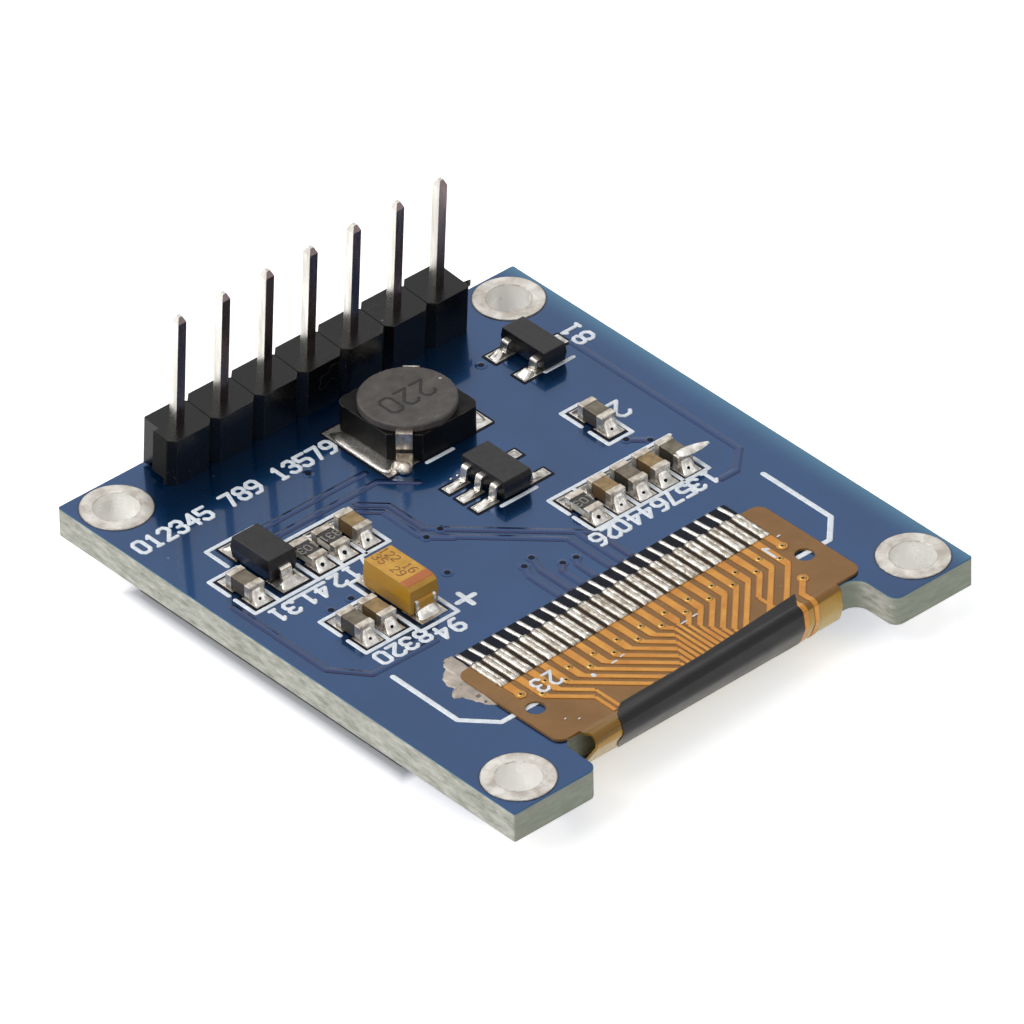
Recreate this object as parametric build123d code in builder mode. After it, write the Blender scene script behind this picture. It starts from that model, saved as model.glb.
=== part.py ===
from build123d import *
from math import cos, radians, sin, sqrt
import os

os.makedirs("parts", exist_ok=True)

# A small OLED display board, lying on its display with the component side up, in millimetres.
# +X runs along the pin header, +Y points to the header's edge and +Z is up.
# z = 0 is the display's face, and x = y = 0 is the middle of the board.

# Board
board_w = 26.8
board_l = 30.0
board_t = 1.5
board_corner_r = 0.1
hole_margin_x = 1.85
hole_margin_y = 1.8
hole_r = 1.05
plating_t = 0.05
ring_r = 1.66
notch_w = 17.4
notch_x = 0.1
notch_depth = 2.45
notch_inner_r = 0.75
notch_outer_r = 0.5
pad_t = 0.04

# Display panel under the board
polariser_t = 0.2
glass_t = 0.7
cap_t = 0.5
adhesive_t = 0.1
display_w = 24.74
display_l = 17.6
display_margin = 4.05
glass_corner = 0.18
ledge_w = 2.8
polariser_margin = 0.5
adhesive_margin = 0.8
cap_well_depth = 0.25
cap_rim = 1.2
driver_w = 6.8
driver_l = 0.86
driver_t = 0.3
driver_gap = 0.45

# Pin header, soldered a little askew so that it leans towards the middle of the board
pin_count = 7
pin_pitch = 2.54
pin_w = 0.47
pin_above = 5.9
pin_below = 3.0
pin_tip_h = 0.3
pin_tip_taper = 24.0
header_lean = 4.1
header_margin = 0.1
header_depth = 2.24
housing_h = 2.5
housing_chamfer = 0.35
housing_groove_w = 1.3
housing_groove_h = 0.3
left_snap_loss = 0.3
left_snap_l = 1.0
right_snap_loss = 0.26
burr_reach = 0.5
burr_w = 0.3
burr_h = 0.35
burr_y = 0.5
burr_drop = 0.15
header_hole_r = 0.5
header_pad_r = 0.85
header_joint_h = 0.75
header_joint_tip_r = 0.42

# Flex ribbon, glued about half a degree askew
ribbon_x = 0.2
ribbon_overhang = 0.05
ribbon_turn = 0.65
ribbon_t = 0.12
head_w = 18.0
head_l = 6.6
head_corner_r = 0.55
bond_l = 1.0
locating_hole_r = 0.45
locating_hole_pitch = 15.94
locating_hole_x = -0.1
locating_hole_y = -0.79

# Bend of the ribbon: corners past the head's edge as seen from the side, out and up.
# The right end is pressed flatter against the board than the left.
neck_left_x = -7.8
neck_right_x = 7.38
left_bend = [(-0.15, 0), (-0.85, 0.3), (-1.09, -0.24)]
right_bend = [(0.1, 0), (-0.22, 0.03), (-0.36, -0.95)]
left_return_y = 0.15
right_return_y = -0.05
bend_radii = [0.8, 0.26, 0.42, 0.8]
bend_reach = 1.4

# Contacts and conductors of the ribbon
contact_count = 23
contact_pitch = 0.703
contact_x = -0.17
contact_w = 0.42
contact_l = 2.0
contact_t = 0.09
contact_draft = 20.0
landing_w = 0.28
landing_l = 1.1
strip_w = 0.4
slope_w = 0.27
trace_w = 0.2
trace_t = 0.03
fan_y = -0.5
late_turns = {21: -0.8}
bundle_pitch = 0.305
bundle_x = 0.1
via_r = 0.2
end_ring_r = 0.27
near_via_y = 0.33
far_via_y = -0.26
lone_conductors = {1: -5.7, 2: -5.35, 19: 4.25}
bend_conductors = (5.15, 5.8)
bend_conductor_w = 0.3
bend_ring_x = 6.6
bend_ring_y = -2.0

# Black tape round the ribbon's bend, its upper edge askew
tape_t = 0.05
tape_plan = [
    (-6.3, -4.7),
    (-6.2, -4.0),
    (-5.9, -3.6),
    (-5.5, -3.25),
    (-5.18, -3.07),
    (-0.3, -3.0),
    (2.7, -2.8),
    (5.53, -2.6),
    (4.98, -3.38),
    (4.9, -4.7),
]

# Chip parts, each spot as the distance right of the middle and in from the header's edge
chip_l = 1.6
chip_w = 0.8
capacitor_h = 0.76
resistor_h = 0.5
chip_end_l = 0.36
chip_end_t = 0.04
chip_pad_w = 0.95
chip_pad_l = 1.03
chip_pad_gap = 0.6
chip_joint_share = 0.65
chip_joint_margin = 0.05
joint_hollow = 0.3

capacitor_spots = [
    (-11.4, 10.25),
    (-5.15, 10.25),
    (-9.8, 15.68),
    (-8.55, 15.68),
    (4.67, 15.88),
    (6.0, 15.88),
    (7.32, 15.88),
    (8.67, 15.88),
    (8.15, 11.43),
]
resistor_spots = [
    (-7.77, 10.25),
    (-6.47, 10.25),
    (3.36, 15.88),
]

# Power inductor
inductor_x = 1.71
inductor_in = 6.12
inductor_w = 4.6
inductor_base_h = 1.42
inductor_clip_cut = 1.15
inductor_lobe_r = 0.55
inductor_well_r = 1.95
inductor_floor_t = 0.3
drum_r = 2.26
drum_top_t = 0.36
drum_waist_r = 0.9
drum_foot_r = 1.8
drum_foot_t = 0.25
drum_edge_r = 0.1
winding_gap = 0.08
clip_w = 0.75
clip_t = 0.14
clip_fold = 0.55
clip_foot = 0.5
inductor_pad_w = 1.94
inductor_pad_l = 4.5
inductor_pad_x = 2.09
inductor_pad_y = 0.07

# Moulded packages with gull-wing leads
mould_draft = 7.0
package_gap = 0.08
lead_t = 0.13
lead_bend_r = 0.1
lead_embed = 0.3

transistor_x = 9.56
transistor_in = 5.7
transistor_w = 1.35
transistor_l = 2.9
transistor_h = 0.92
transistor_lead_w = 0.42
transistor_lead_reach = 0.62
transistor_lead_step = 0.95
transistor_lead_rows = [(-1, -1), (-1, 1), (1, 0)]
transistor_exit = 0.5
transistor_pad_w = 0.75
transistor_pad_margin = 0.45

regulator_x = 1.94
regulator_in = 11.71
regulator_w = 1.6
regulator_l = 2.9
regulator_h = 0.98
regulator_lead_w = 0.38
regulator_lead_reach = 0.65
regulator_lead_step = 0.95
regulator_lead_rows = [(-1, -1), (-1, 0), (-1, 1), (1, -1), (1, 1)]
regulator_exit = 0.66
regulator_pad_w = 0.53
regulator_pad_margin = 0.7

diode_x = -9.55
diode_in = 9.35
diode_w = 1.6
diode_l = 2.6
diode_h = 1.1
diode_lead_w = 0.6
diode_lead_reach = 0.5
diode_exit = 0.5
diode_pad_w = 1.5
diode_pad_l = 1.2
diode_pad_margin = 0.37

knee_share = 0.3
gull_pad_l = 1.25

tantalum_x = -6.65
tantalum_in = 15.1
tantalum_w = 1.65
tantalum_l = 3.1
tantalum_h = 1.42
tantalum_draft = 4.0
tantalum_exit = 0.45
tantalum_bevel = 0.2
tantalum_lead_w = 1.15
tantalum_lead_t = 0.14
tantalum_lead_under = 0.7
tantalum_pad_w = 1.5
tantalum_pad_l = 1.3
tantalum_pad_margin = 0.53

# Dried flux left of the contacts
flux_t = 0.16
flux_outline = [
    (-8.15, 4.64),
    (-8.75, 4.2),
    (-9.16, 3.6),
    (-9.61, 3.41),
    (-9.67, 2.71),
    (-10.17, 2.37),
    (-9.78, 2.11),
    (-9.58, 1.41),
    (-9.24, 0.85),
    (-8.99, 1.2),
    (-8.18, 1.44),
]

# Places that follow from the board's edges
board_edge_y = board_l / 2
hole_spacing_x = board_w - 2 * hole_margin_x
hole_spacing_y = board_l - 2 * hole_margin_y
header_front_y = board_edge_y - header_margin - header_depth
display_y = board_edge_y - display_margin - display_l / 2
notch_bed_y = notch_depth - board_edge_y
ribbon_y = notch_bed_y - ribbon_overhang + head_l / 2
inductor_y = board_edge_y - inductor_in
transistor_y = board_edge_y - transistor_in
regulator_y = board_edge_y - regulator_in
diode_y = board_edge_y - diode_in
tantalum_y = board_edge_y - tantalum_in
capacitor_places = [(x, board_edge_y - inward) for x, inward in capacitor_spots]
resistor_places = [(x, board_edge_y - inward) for x, inward in resistor_spots]

# Heights that follow from the stack
ledge_top = polariser_t + glass_t
cap_top = ledge_top + cap_t
board_bottom = cap_top + adhesive_t
board_top = board_bottom + board_t
seat = board_top + pad_t

# Planes that the askew pieces are drawn on
header_up = (0, -sin(radians(header_lean)), cos(radians(header_lean)))
header_plane = Plane(
    origin=(0, header_front_y, board_top), x_dir=(1, 0, 0), z_dir=header_up
)
row_y = header_depth / 2
header_hole_y = header_front_y + row_y
turn = radians(ribbon_turn)
ribbon_flat = Plane(
    origin=(ribbon_x, ribbon_y, board_top), x_dir=(cos(turn), sin(turn), 0), z_dir=(0, 0, 1)
)
ribbon_side = Plane(
    origin=(ribbon_x, ribbon_y, board_top),
    x_dir=(-sin(turn), cos(turn), 0),
    z_dir=(cos(turn), sin(turn), 0),
)

# Circuit board
with BuildPart() as circuit_board:
    with BuildSketch(Plane.XY.offset(board_bottom)) as board_outline:
        RectangleRounded(board_w, board_l, board_corner_r)
        with Locations((notch_x, -board_edge_y)):
            RectangleRounded(notch_w, 2 * notch_depth, notch_inner_r, mode=Mode.SUBTRACT)
        front_corners = board_outline.vertices().group_by(Axis.Y)[0].sort_by(Axis.X)
        fillet(front_corners[1:-1], notch_outer_r)
        with GridLocations(hole_spacing_x, hole_spacing_y, 2, 2):
            Circle(hole_r + plating_t, mode=Mode.SUBTRACT)
        with Locations((0, header_hole_y)):
            with GridLocations(pin_pitch, 0, pin_count, 1):
                Circle(header_hole_r, mode=Mode.SUBTRACT)
    extrude(amount=board_t)
circuit_board.part.label = "circuit_board"
export_step(circuit_board.part, "parts/circuit_board.step")

# Tinned rings that line the four screw holes, on both faces and down the wall
with BuildPart() as mounting_rings:
    for height in (board_bottom - plating_t, board_top):
        with BuildSketch(Plane.XY.offset(height)):
            with GridLocations(hole_spacing_x, hole_spacing_y, 2, 2):
                Circle(ring_r)
        extrude(amount=plating_t)
    with BuildSketch(Plane.XY.offset(board_bottom)):
        with GridLocations(hole_spacing_x, hole_spacing_y, 2, 2):
            Circle(hole_r + plating_t)
    extrude(amount=board_t)
    with BuildSketch(Plane.XY.offset(board_bottom - plating_t)):
        with GridLocations(hole_spacing_x, hole_spacing_y, 2, 2):
            Circle(hole_r)
    extrude(amount=board_t + 2 * plating_t, mode=Mode.SUBTRACT)
mounting_rings.part.label = "mounting_rings"
export_step(mounting_rings.part, "parts/mounting_rings.step")

# Display: polariser film, front glass with its ledge, cover glass, chip and mounting adhesive
display_front_y = display_y - display_l / 2
cap_l = display_l - ledge_w
cap_y = display_y + ledge_w / 2

with BuildPart() as display_polariser:
    with BuildSketch():
        with Locations((0, cap_y)):
            Rectangle(display_w - 2 * polariser_margin, cap_l - 2 * polariser_margin)
    extrude(amount=polariser_t)
display_polariser.part.label = "display_polariser"
export_step(display_polariser.part, "parts/display_polariser.step")

with BuildPart() as display_glass:
    with BuildSketch(Plane.XY.offset(polariser_t)):
        with Locations((0, display_y)):
            Rectangle(display_w, display_l)
    extrude(amount=glass_t)
    chamfer(display_glass.edges().filter_by(Axis.Z), glass_corner)
display_glass.part.label = "display_glass"
export_step(display_glass.part, "parts/display_glass.step")

with BuildPart() as display_cover:
    with BuildSketch(Plane.XY.offset(ledge_top)):
        with Locations((0, cap_y)):
            Rectangle(display_w, cap_l)
    extrude(amount=cap_t)
    with BuildSketch(Plane.XY.offset(ledge_top)):
        with Locations((0, cap_y)):
            RectangleRounded(display_w - 2 * cap_rim, cap_l - 2 * cap_rim, cap_rim / 2)
    extrude(amount=cap_well_depth, mode=Mode.SUBTRACT)
display_cover.part.label = "display_cover"
export_step(display_cover.part, "parts/display_cover.step")

with BuildPart() as display_driver:
    with BuildSketch(Plane.XY.offset(ledge_top)):
        with Locations((0, display_front_y + ledge_w - driver_gap - driver_l / 2)):
            Rectangle(driver_w, driver_l)
    extrude(amount=driver_t)
display_driver.part.label = "display_driver"
export_step(display_driver.part, "parts/display_driver.step")

with BuildPart() as display_adhesive:
    with BuildSketch(Plane.XY.offset(cap_top)):
        with Locations((0, cap_y)):
            Rectangle(display_w - 2 * adhesive_margin, cap_l - 2 * adhesive_margin)
    extrude(amount=adhesive_t)
display_adhesive.part.label = "display_adhesive"
export_step(display_adhesive.part, "parts/display_adhesive.step")

# Pin header: one strip of eight-sided blocks, snapped off a longer strip at both ends
strip_half = pin_count * pin_pitch / 2
with BuildPart() as header_housing:
    with BuildSketch(header_plane):
        with Locations((0, row_y)):
            with GridLocations(pin_pitch, 0, pin_count, 1):
                with BuildSketch(mode=Mode.PRIVATE) as block:
                    Rectangle(pin_pitch, header_depth)
                    chamfer(block.vertices(), housing_chamfer)
                add(block.sketch)
    extrude(amount=housing_h)
    with BuildSketch(header_plane):
        with Locations((0, row_y)):
            Rectangle(2 * strip_half, housing_groove_w)
    extrude(amount=housing_groove_h, mode=Mode.SUBTRACT)
    with BuildSketch(header_plane):
        with Locations((-strip_half, header_depth)):
            Rectangle(2 * left_snap_loss, 2 * left_snap_l)
        with Locations((strip_half, row_y)):
            Rectangle(2 * right_snap_loss, header_depth)
    extrude(amount=housing_h, mode=Mode.SUBTRACT)
    with BuildSketch(header_plane.offset(housing_h - burr_drop)):
        with BuildLine():
            burr_root = strip_half - right_snap_loss - burr_w
            Polyline(
                (burr_root, burr_y - burr_w / 2),
                (burr_root + burr_w + burr_reach, burr_y),
                (burr_root, burr_y + burr_w / 2),
                close=True,
            )
        make_face()
    extrude(amount=-burr_h)
    with BuildSketch(header_plane):
        with Locations((0, row_y)):
            with GridLocations(pin_pitch, 0, pin_count, 1):
                Rectangle(pin_w, pin_w)
    extrude(amount=housing_h, mode=Mode.SUBTRACT)
header_housing.part.label = "header_housing"
export_step(header_housing.part, "parts/header_housing.step")

# Square pins with a blunt point at each end
shank_low = pin_tip_h - pin_below
shank_high = housing_h + pin_above - pin_tip_h
for number in range(1, pin_count + 1):
    pin_x = (number - (pin_count + 1) / 2) * pin_pitch
    with BuildPart() as header_pin:
        with BuildSketch(header_plane.offset(shank_low)):
            with Locations((pin_x, row_y)):
                Rectangle(pin_w, pin_w)
        extrude(amount=shank_high - shank_low)
        for level, way in ((shank_low, -1), (shank_high, 1)):
            with BuildSketch(header_plane.offset(level)):
                with Locations((pin_x, row_y)):
                    Rectangle(pin_w, pin_w)
            extrude(amount=way * pin_tip_h, taper=pin_tip_taper)
    header_pin.part.label = f"header_pin_{number}"
    export_step(header_pin.part, f"parts/header_pin_{number}.step")

# Solder cones round the pins under the board
with BuildPart() as header_joints:
    with BuildSketch(Plane.XY.offset(board_bottom)):
        with Locations((0, header_hole_y)):
            with GridLocations(pin_pitch, 0, pin_count, 1):
                Circle(header_pad_r)
    extrude(amount=-pad_t)
    with Locations((0, header_hole_y, board_bottom)):
        with GridLocations(pin_pitch, 0, pin_count, 1):
            Cone(
                header_pad_r,
                header_joint_tip_r,
                header_joint_h,
                rotation=(180, 0, 0),
                align=(Align.CENTER, Align.CENTER, Align.MIN),
            )
    with BuildSketch(header_plane.offset(-pin_below)):
        with Locations((0, row_y)):
            with GridLocations(pin_pitch, 0, pin_count, 1):
                Rectangle(pin_w, pin_w)
    extrude(amount=pin_below, mode=Mode.SUBTRACT)
header_joints.part.label = "header_joints"
export_step(header_joints.part, "parts/header_joints.step")


# The ribbon's middle line from the head, over the board's edge, round and under to the glass
head_edge_y = -head_l / 2
under_z = ledge_top + ribbon_t / 2 - board_top
bond_y = display_front_y + bond_l - ribbon_y


def layer_line(corners, return_y, out):
    """The ribbon's line moved out by a distance: each run shifts square to itself."""
    points = [Vector(0, ribbon_t / 2)]
    points += [Vector(head_edge_y + y, ribbon_t / 2 + z) for y, z in corners]
    points += [Vector(head_edge_y + return_y, under_z), Vector(bond_y, under_z)]
    runs = [(b - a).normalized() for a, b in zip(points, points[1:])]
    sides = [Vector(run.Y, -run.X) for run in runs]
    moved = [points[0] + sides[0] * out]
    radii = []
    for corner, radius, before, after in zip(points[1:-1], bend_radii, sides, sides[1:]):
        moved.append(corner + (before + after) * (out / (1 + before.dot(after))))
        radii.append(radius + out if before.cross(after).Z > 0 else radius - out)
    moved.append(points[-1] + sides[-1] * out)
    return FilletPolyline(*moved, radius=radii)


def bend_section(side_x, corners, return_y, out, thickness):
    """One end view of a layer of the bend."""
    with BuildSketch(ribbon_side.offset(side_x)) as section:
        with BuildLine():
            layer_line(corners, return_y, out)
        trace(line_width=thickness)
    return section.sketch


def bend_layer(out, thickness):
    """The two end views of a layer of the bend, to be joined by a straight loft."""
    return [
        bend_section(neck_left_x, left_bend, left_return_y, out, thickness),
        bend_section(neck_right_x, right_bend, right_return_y, out, thickness),
    ]


# Flex film: a flat head with two locating holes, and the narrower neck that wraps the edge
with BuildPart() as ribbon_film:
    with BuildSketch(ribbon_flat):
        RectangleRounded(head_w, head_l, head_corner_r)
    extrude(amount=ribbon_t)
    loft(bend_layer(0, ribbon_t), ruled=True)
    with BuildSketch(ribbon_flat):
        with Locations((locating_hole_x, locating_hole_y)):
            with GridLocations(locating_hole_pitch, 0, 2, 1):
                Circle(locating_hole_r)
    extrude(amount=ribbon_t, mode=Mode.SUBTRACT)
ribbon_film.part.label = "ribbon_film"
export_step(ribbon_film.part, "parts/ribbon_film.step")

with BuildPart() as ribbon_tape:
    loft(bend_layer((ribbon_t + tape_t) / 2, tape_t), ruled=True)
    with BuildSketch(ribbon_flat.offset(-board_top)):
        with BuildLine():
            Polyline(*tape_plan, close=True)
        make_face()
    extrude(amount=2 * board_top, mode=Mode.INTERSECT)
ribbon_tape.part.label = "ribbon_tape"
export_step(ribbon_tape.part, "parts/ribbon_tape.step")

# Strips of copper that run over the bend beside the tape
with BuildPart() as bend_strips:
    loft(bend_layer((ribbon_t + trace_t) / 2, trace_t), ruled=True)
    with BuildSketch(ribbon_flat.offset(-board_top)):
        for strip_x in bend_conductors:
            with Locations((strip_x, head_edge_y - bend_reach / 2 + bend_conductor_w)):
                Rectangle(bend_conductor_w, bend_reach)
    extrude(amount=2 * board_top, mode=Mode.INTERSECT)

# Copper conductors: strips from the contacts, then at 45 degrees into a close bundle that goes
# under the tape. Four run on alone, and the first and last end at their rings.
conductor_end = tape_plan[4][1]
middle_contact = (contact_count - 1) / 2
with BuildPart() as ribbon_conductors:
    with BuildSketch(ribbon_flat.offset(ribbon_t)):
        for number in range(contact_count):
            start_x = contact_x + (number - middle_contact) * contact_pitch
            end_x = bundle_x + (number - middle_contact) * bundle_pitch
            end_x = lone_conductors.get(number, end_x)
            via_y = near_via_y if number % 2 == 0 else far_via_y
            turn_y = late_turns.get(number, fan_y)
            at_end = number in (0, contact_count - 1)
            strip_end = via_y if at_end else turn_y
            with Locations((start_x, via_y)):
                Circle(end_ring_r if at_end else via_r)
            with BuildLine():
                Line((start_x, head_l / 2 - contact_l), (start_x, strip_end))
            trace(line_width=strip_w)
            if at_end:
                continue
            run = min(abs(end_x - start_x), turn_y - conductor_end)
            way = 1 if end_x > start_x else -1
            turn_x = start_x + way * run
            with BuildLine():
                Polyline((start_x, turn_y + slope_w), (start_x, turn_y), (turn_x, turn_y - run))
            trace(line_width=slope_w)
            if turn_y - run > conductor_end:
                with BuildLine():
                    Line((turn_x, turn_y - run), (turn_x, head_edge_y))
                trace(line_width=trace_w)
        with BuildLine():
            Polyline(*tape_plan, close=True)
        make_face(mode=Mode.SUBTRACT)
        ring_x = bend_conductors[-1]
        ring_run = bend_ring_x - ring_x
        with BuildLine():
            Polyline(
                (bend_ring_x, bend_ring_y),
                (ring_x, bend_ring_y - ring_run),
                (ring_x, head_edge_y + bend_conductor_w),
            )
        trace(line_width=bend_conductor_w)
        with Locations((bend_ring_x, bend_ring_y)):
            Circle(end_ring_r)
    extrude(amount=trace_t)
    add(bend_strips.part)
ribbon_conductors.part.label = "ribbon_conductors"
export_step(ribbon_conductors.part, "parts/ribbon_conductors.step")

# Soldered contact fingers on the ribbon, and the landings that they reach on the board
with BuildPart() as contact_fingers:
    with BuildSketch(ribbon_flat.offset(ribbon_t)):
        with Locations((contact_x, (head_l - contact_l) / 2)):
            with GridLocations(contact_pitch, 0, contact_count, 1):
                Rectangle(contact_w, contact_l)
    extrude(amount=contact_t, taper=contact_draft)
contact_fingers.part.label = "contact_fingers"
export_step(contact_fingers.part, "parts/contact_fingers.step")

with BuildPart() as contact_landings:
    with BuildSketch(ribbon_flat):
        with Locations((contact_x, (head_l + landing_l) / 2)):
            with GridLocations(contact_pitch, 0, contact_count, 1):
                Rectangle(landing_w, landing_l)
    extrude(amount=pad_t)
contact_landings.part.label = "contact_landings"
export_step(contact_landings.part, "parts/contact_landings.step")

# Flux that spread beside the contacts and dried with a ragged rim
with BuildPart() as flux_spill:
    with BuildSketch(ribbon_flat):
        with BuildLine():
            Polyline(*flux_outline, close=True)
        make_face()
        RectangleRounded(head_w, head_l, head_corner_r, mode=Mode.SUBTRACT)
    extrude(amount=flux_t)
flux_spill.part.label = "flux_spill"
export_step(flux_spill.part, "parts/flux_spill.step")


def make_chip(kind, number, x, y, height):
    """A ceramic block with a metal end folded round each short side."""
    core_h = height - 2 * chip_end_t
    with BuildPart() as body:
        with Locations((x, y, seat + chip_end_t)):
            Box(
                chip_w,
                chip_l - 2 * chip_end_t,
                core_h,
                align=(Align.CENTER, Align.CENTER, Align.MIN),
            )
    body.part.label = f"{kind}_{number}_body"
    export_step(body.part, f"parts/{kind}_{number}_body.step")
    with BuildPart() as ends:
        for side in (-1, 1):
            with Locations((x, y + side * (chip_l - chip_end_l) / 2, seat)):
                Box(
                    chip_w + 2 * chip_end_t,
                    chip_end_l,
                    height,
                    align=(Align.CENTER, Align.CENTER, Align.MIN),
                )
        chamfer(ends.edges(), chip_end_t / 2)
        with Locations((x, y, seat + chip_end_t)):
            Box(
                chip_w,
                chip_l - 2 * chip_end_t,
                core_h,
                align=(Align.CENTER, Align.CENTER, Align.MIN),
                mode=Mode.SUBTRACT,
            )
    ends.part.label = f"{kind}_{number}_ends"
    export_step(ends.part, f"parts/{kind}_{number}_ends.step")


for number, (x, y) in enumerate(capacitor_places, start=1):
    make_chip("capacitor", number, x, y, capacitor_h)
for number, (x, y) in enumerate(resistor_places, start=1):
    make_chip("resistor", number, x, y, resistor_h)

# Power inductor: a ferrite base with a round well, a drum core, its winding and two clips
clip_diagonal = (inductor_w - inductor_clip_cut) / sqrt(2)
base_top = seat + inductor_base_h
clip_side = Plane(
    origin=(inductor_x, inductor_y, seat), x_dir=(1, 1, 0), z_dir=(1, -1, 0)
)
with BuildPart() as inductor_base:
    with BuildSketch(Plane.XY.offset(seat)) as base_outline:
        with Locations((inductor_x, inductor_y)):
            Rectangle(inductor_w, inductor_w)
        diagonal = Axis((0, 0, 0), (1, 1, 0))
        corners = base_outline.vertices().sort_by(diagonal)
        chamfer([corners[0], corners[-1]], inductor_clip_cut)
        other = Axis((0, 0, 0), (1, -1, 0))
        corners = base_outline.vertices().sort_by(other)
        fillet([corners[0], corners[-1]], inductor_lobe_r)
    extrude(amount=inductor_base_h)
    with BuildSketch(Plane.XY.offset(seat + inductor_floor_t)):
        with Locations((inductor_x, inductor_y)):
            Circle(inductor_well_r)
    extrude(amount=inductor_base_h, mode=Mode.SUBTRACT)
inductor_base.part.label = "inductor_base"
export_step(inductor_base.part, "parts/inductor_base.step")

drum_low = seat + inductor_floor_t
with BuildPart() as inductor_drum:
    with BuildSketch(Plane.XY.offset(drum_low)):
        with Locations((inductor_x, inductor_y)):
            Circle(drum_foot_r)
    extrude(amount=drum_foot_t)
    with BuildSketch(Plane.XY.offset(drum_low)):
        with Locations((inductor_x, inductor_y)):
            Circle(drum_waist_r)
    extrude(amount=base_top - drum_low)
    with BuildSketch(Plane.XY.offset(base_top)):
        with Locations((inductor_x, inductor_y)):
            Circle(drum_r)
    extrude(amount=drum_top_t)
    fillet(inductor_drum.edges().sort_by(Axis.Z)[-1], drum_edge_r)
inductor_drum.part.label = "inductor_drum"
export_step(inductor_drum.part, "parts/inductor_drum.step")

with BuildPart() as inductor_winding:
    with BuildSketch(Plane.XY.offset(drum_low + drum_foot_t)):
        with Locations((inductor_x, inductor_y)):
            Circle(drum_foot_r - winding_gap)
            Circle(drum_waist_r, mode=Mode.SUBTRACT)
    extrude(amount=base_top - drum_low - drum_foot_t - winding_gap)
inductor_winding.part.label = "inductor_winding"
export_step(inductor_winding.part, "parts/inductor_winding.step")

clip_out = clip_diagonal + clip_t / 2
with BuildPart() as inductor_clips:
    for way in (-1, 1):
        with BuildSketch(clip_side):
            with BuildLine():
                Polyline(
                    (way * (clip_out + clip_foot), clip_t / 2),
                    (way * clip_out, clip_t / 2),
                    (way * clip_out, inductor_base_h + clip_t / 2),
                    (way * (clip_out - clip_fold), inductor_base_h + clip_t / 2),
                )
            trace(line_width=clip_t)
        extrude(amount=clip_w / 2, both=True)
    add(inductor_drum.part, mode=Mode.SUBTRACT)
inductor_clips.part.label = "inductor_clips"
export_step(inductor_clips.part, "parts/inductor_clips.step")


def parting_height(height, exit_share):
    """Height of a package's parting line, where its leads come out."""
    return seat + package_gap + height * exit_share


def gull_wing(plane, shoulder, reach, parting):
    """The side view of one bent lead, from inside the package down to a flat foot."""
    knee = shoulder + reach * knee_share
    with BuildSketch(plane) as profile:
        with BuildLine():
            FilletPolyline(
                (shoulder - lead_embed, parting),
                (knee, parting),
                (knee + lead_bend_r, seat + lead_t / 2),
                (shoulder + reach, seat + lead_t / 2),
                radius=lead_bend_r,
            )
        trace(line_width=lead_t)
    return profile.sketch


def make_package(name, place, size, exit_share, leads, draft=mould_draft, bevel=0):
    """A body moulded round its leads, with draft above and below the parting line."""
    width, length, height = size
    with BuildPart() as body:
        for amount in (-height * exit_share, height * (1 - exit_share)):
            with BuildSketch(Plane.XY.offset(parting_height(height, exit_share))):
                with Locations(place):
                    Rectangle(width, length)
            extrude(amount=amount, taper=draft)
        if bevel:
            top_edges = body.edges().group_by(Axis.Z)[-1]
            chamfer(top_edges.sort_by(Axis.Y)[0], bevel)
        add(leads, mode=Mode.SUBTRACT)
    body.part.label = name
    export_step(body.part, f"parts/{name}.step")


def across(x, y, way):
    """An upright plane at a place, with its first axis along X or against it."""
    return Plane(origin=(x, y, 0), x_dir=(way, 0, 0), z_dir=(0, -way, 0))


def along(x, y, way):
    """An upright plane at a place, with its first axis along Y or against it."""
    return Plane(origin=(x, y, 0), x_dir=(0, way, 0), z_dir=(way, 0, 0))


# Transistor: two leads to the left and one to the right
with BuildPart() as transistor_leads:
    for way, step in transistor_lead_rows:
        profile = gull_wing(
            across(transistor_x, transistor_y + step * transistor_lead_step, way),
            transistor_w / 2,
            transistor_lead_reach,
            parting_height(transistor_h, transistor_exit),
        )
        extrude(profile, amount=transistor_lead_w / 2, both=True)
transistor_leads.part.label = "transistor_leads"
export_step(transistor_leads.part, "parts/transistor_leads.step")
make_package(
    "transistor_body",
    (transistor_x, transistor_y),
    (transistor_w, transistor_l, transistor_h),
    transistor_exit,
    transistor_leads.part,
)

# Voltage regulator: three leads to the left and two to the right
with BuildPart() as regulator_leads:
    for way, step in regulator_lead_rows:
        profile = gull_wing(
            across(regulator_x, regulator_y + step * regulator_lead_step, way),
            regulator_w / 2,
            regulator_lead_reach,
            parting_height(regulator_h, regulator_exit),
        )
        extrude(profile, amount=regulator_lead_w / 2, both=True)
regulator_leads.part.label = "regulator_leads"
export_step(regulator_leads.part, "parts/regulator_leads.step")
make_package(
    "regulator_body",
    (regulator_x, regulator_y),
    (regulator_w, regulator_l, regulator_h),
    regulator_exit,
    regulator_leads.part,
)

# Diode: one lead at each end
with BuildPart() as diode_leads:
    for way in (-1, 1):
        profile = gull_wing(
            along(diode_x, diode_y, way),
            diode_l / 2,
            diode_lead_reach,
            parting_height(diode_h, diode_exit),
        )
        extrude(profile, amount=diode_lead_w / 2, both=True)
diode_leads.part.label = "diode_leads"
export_step(diode_leads.part, "parts/diode_leads.step")
make_package(
    "diode_body",
    (diode_x, diode_y),
    (diode_w, diode_l, diode_h),
    diode_exit,
    diode_leads.part,
)

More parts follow.
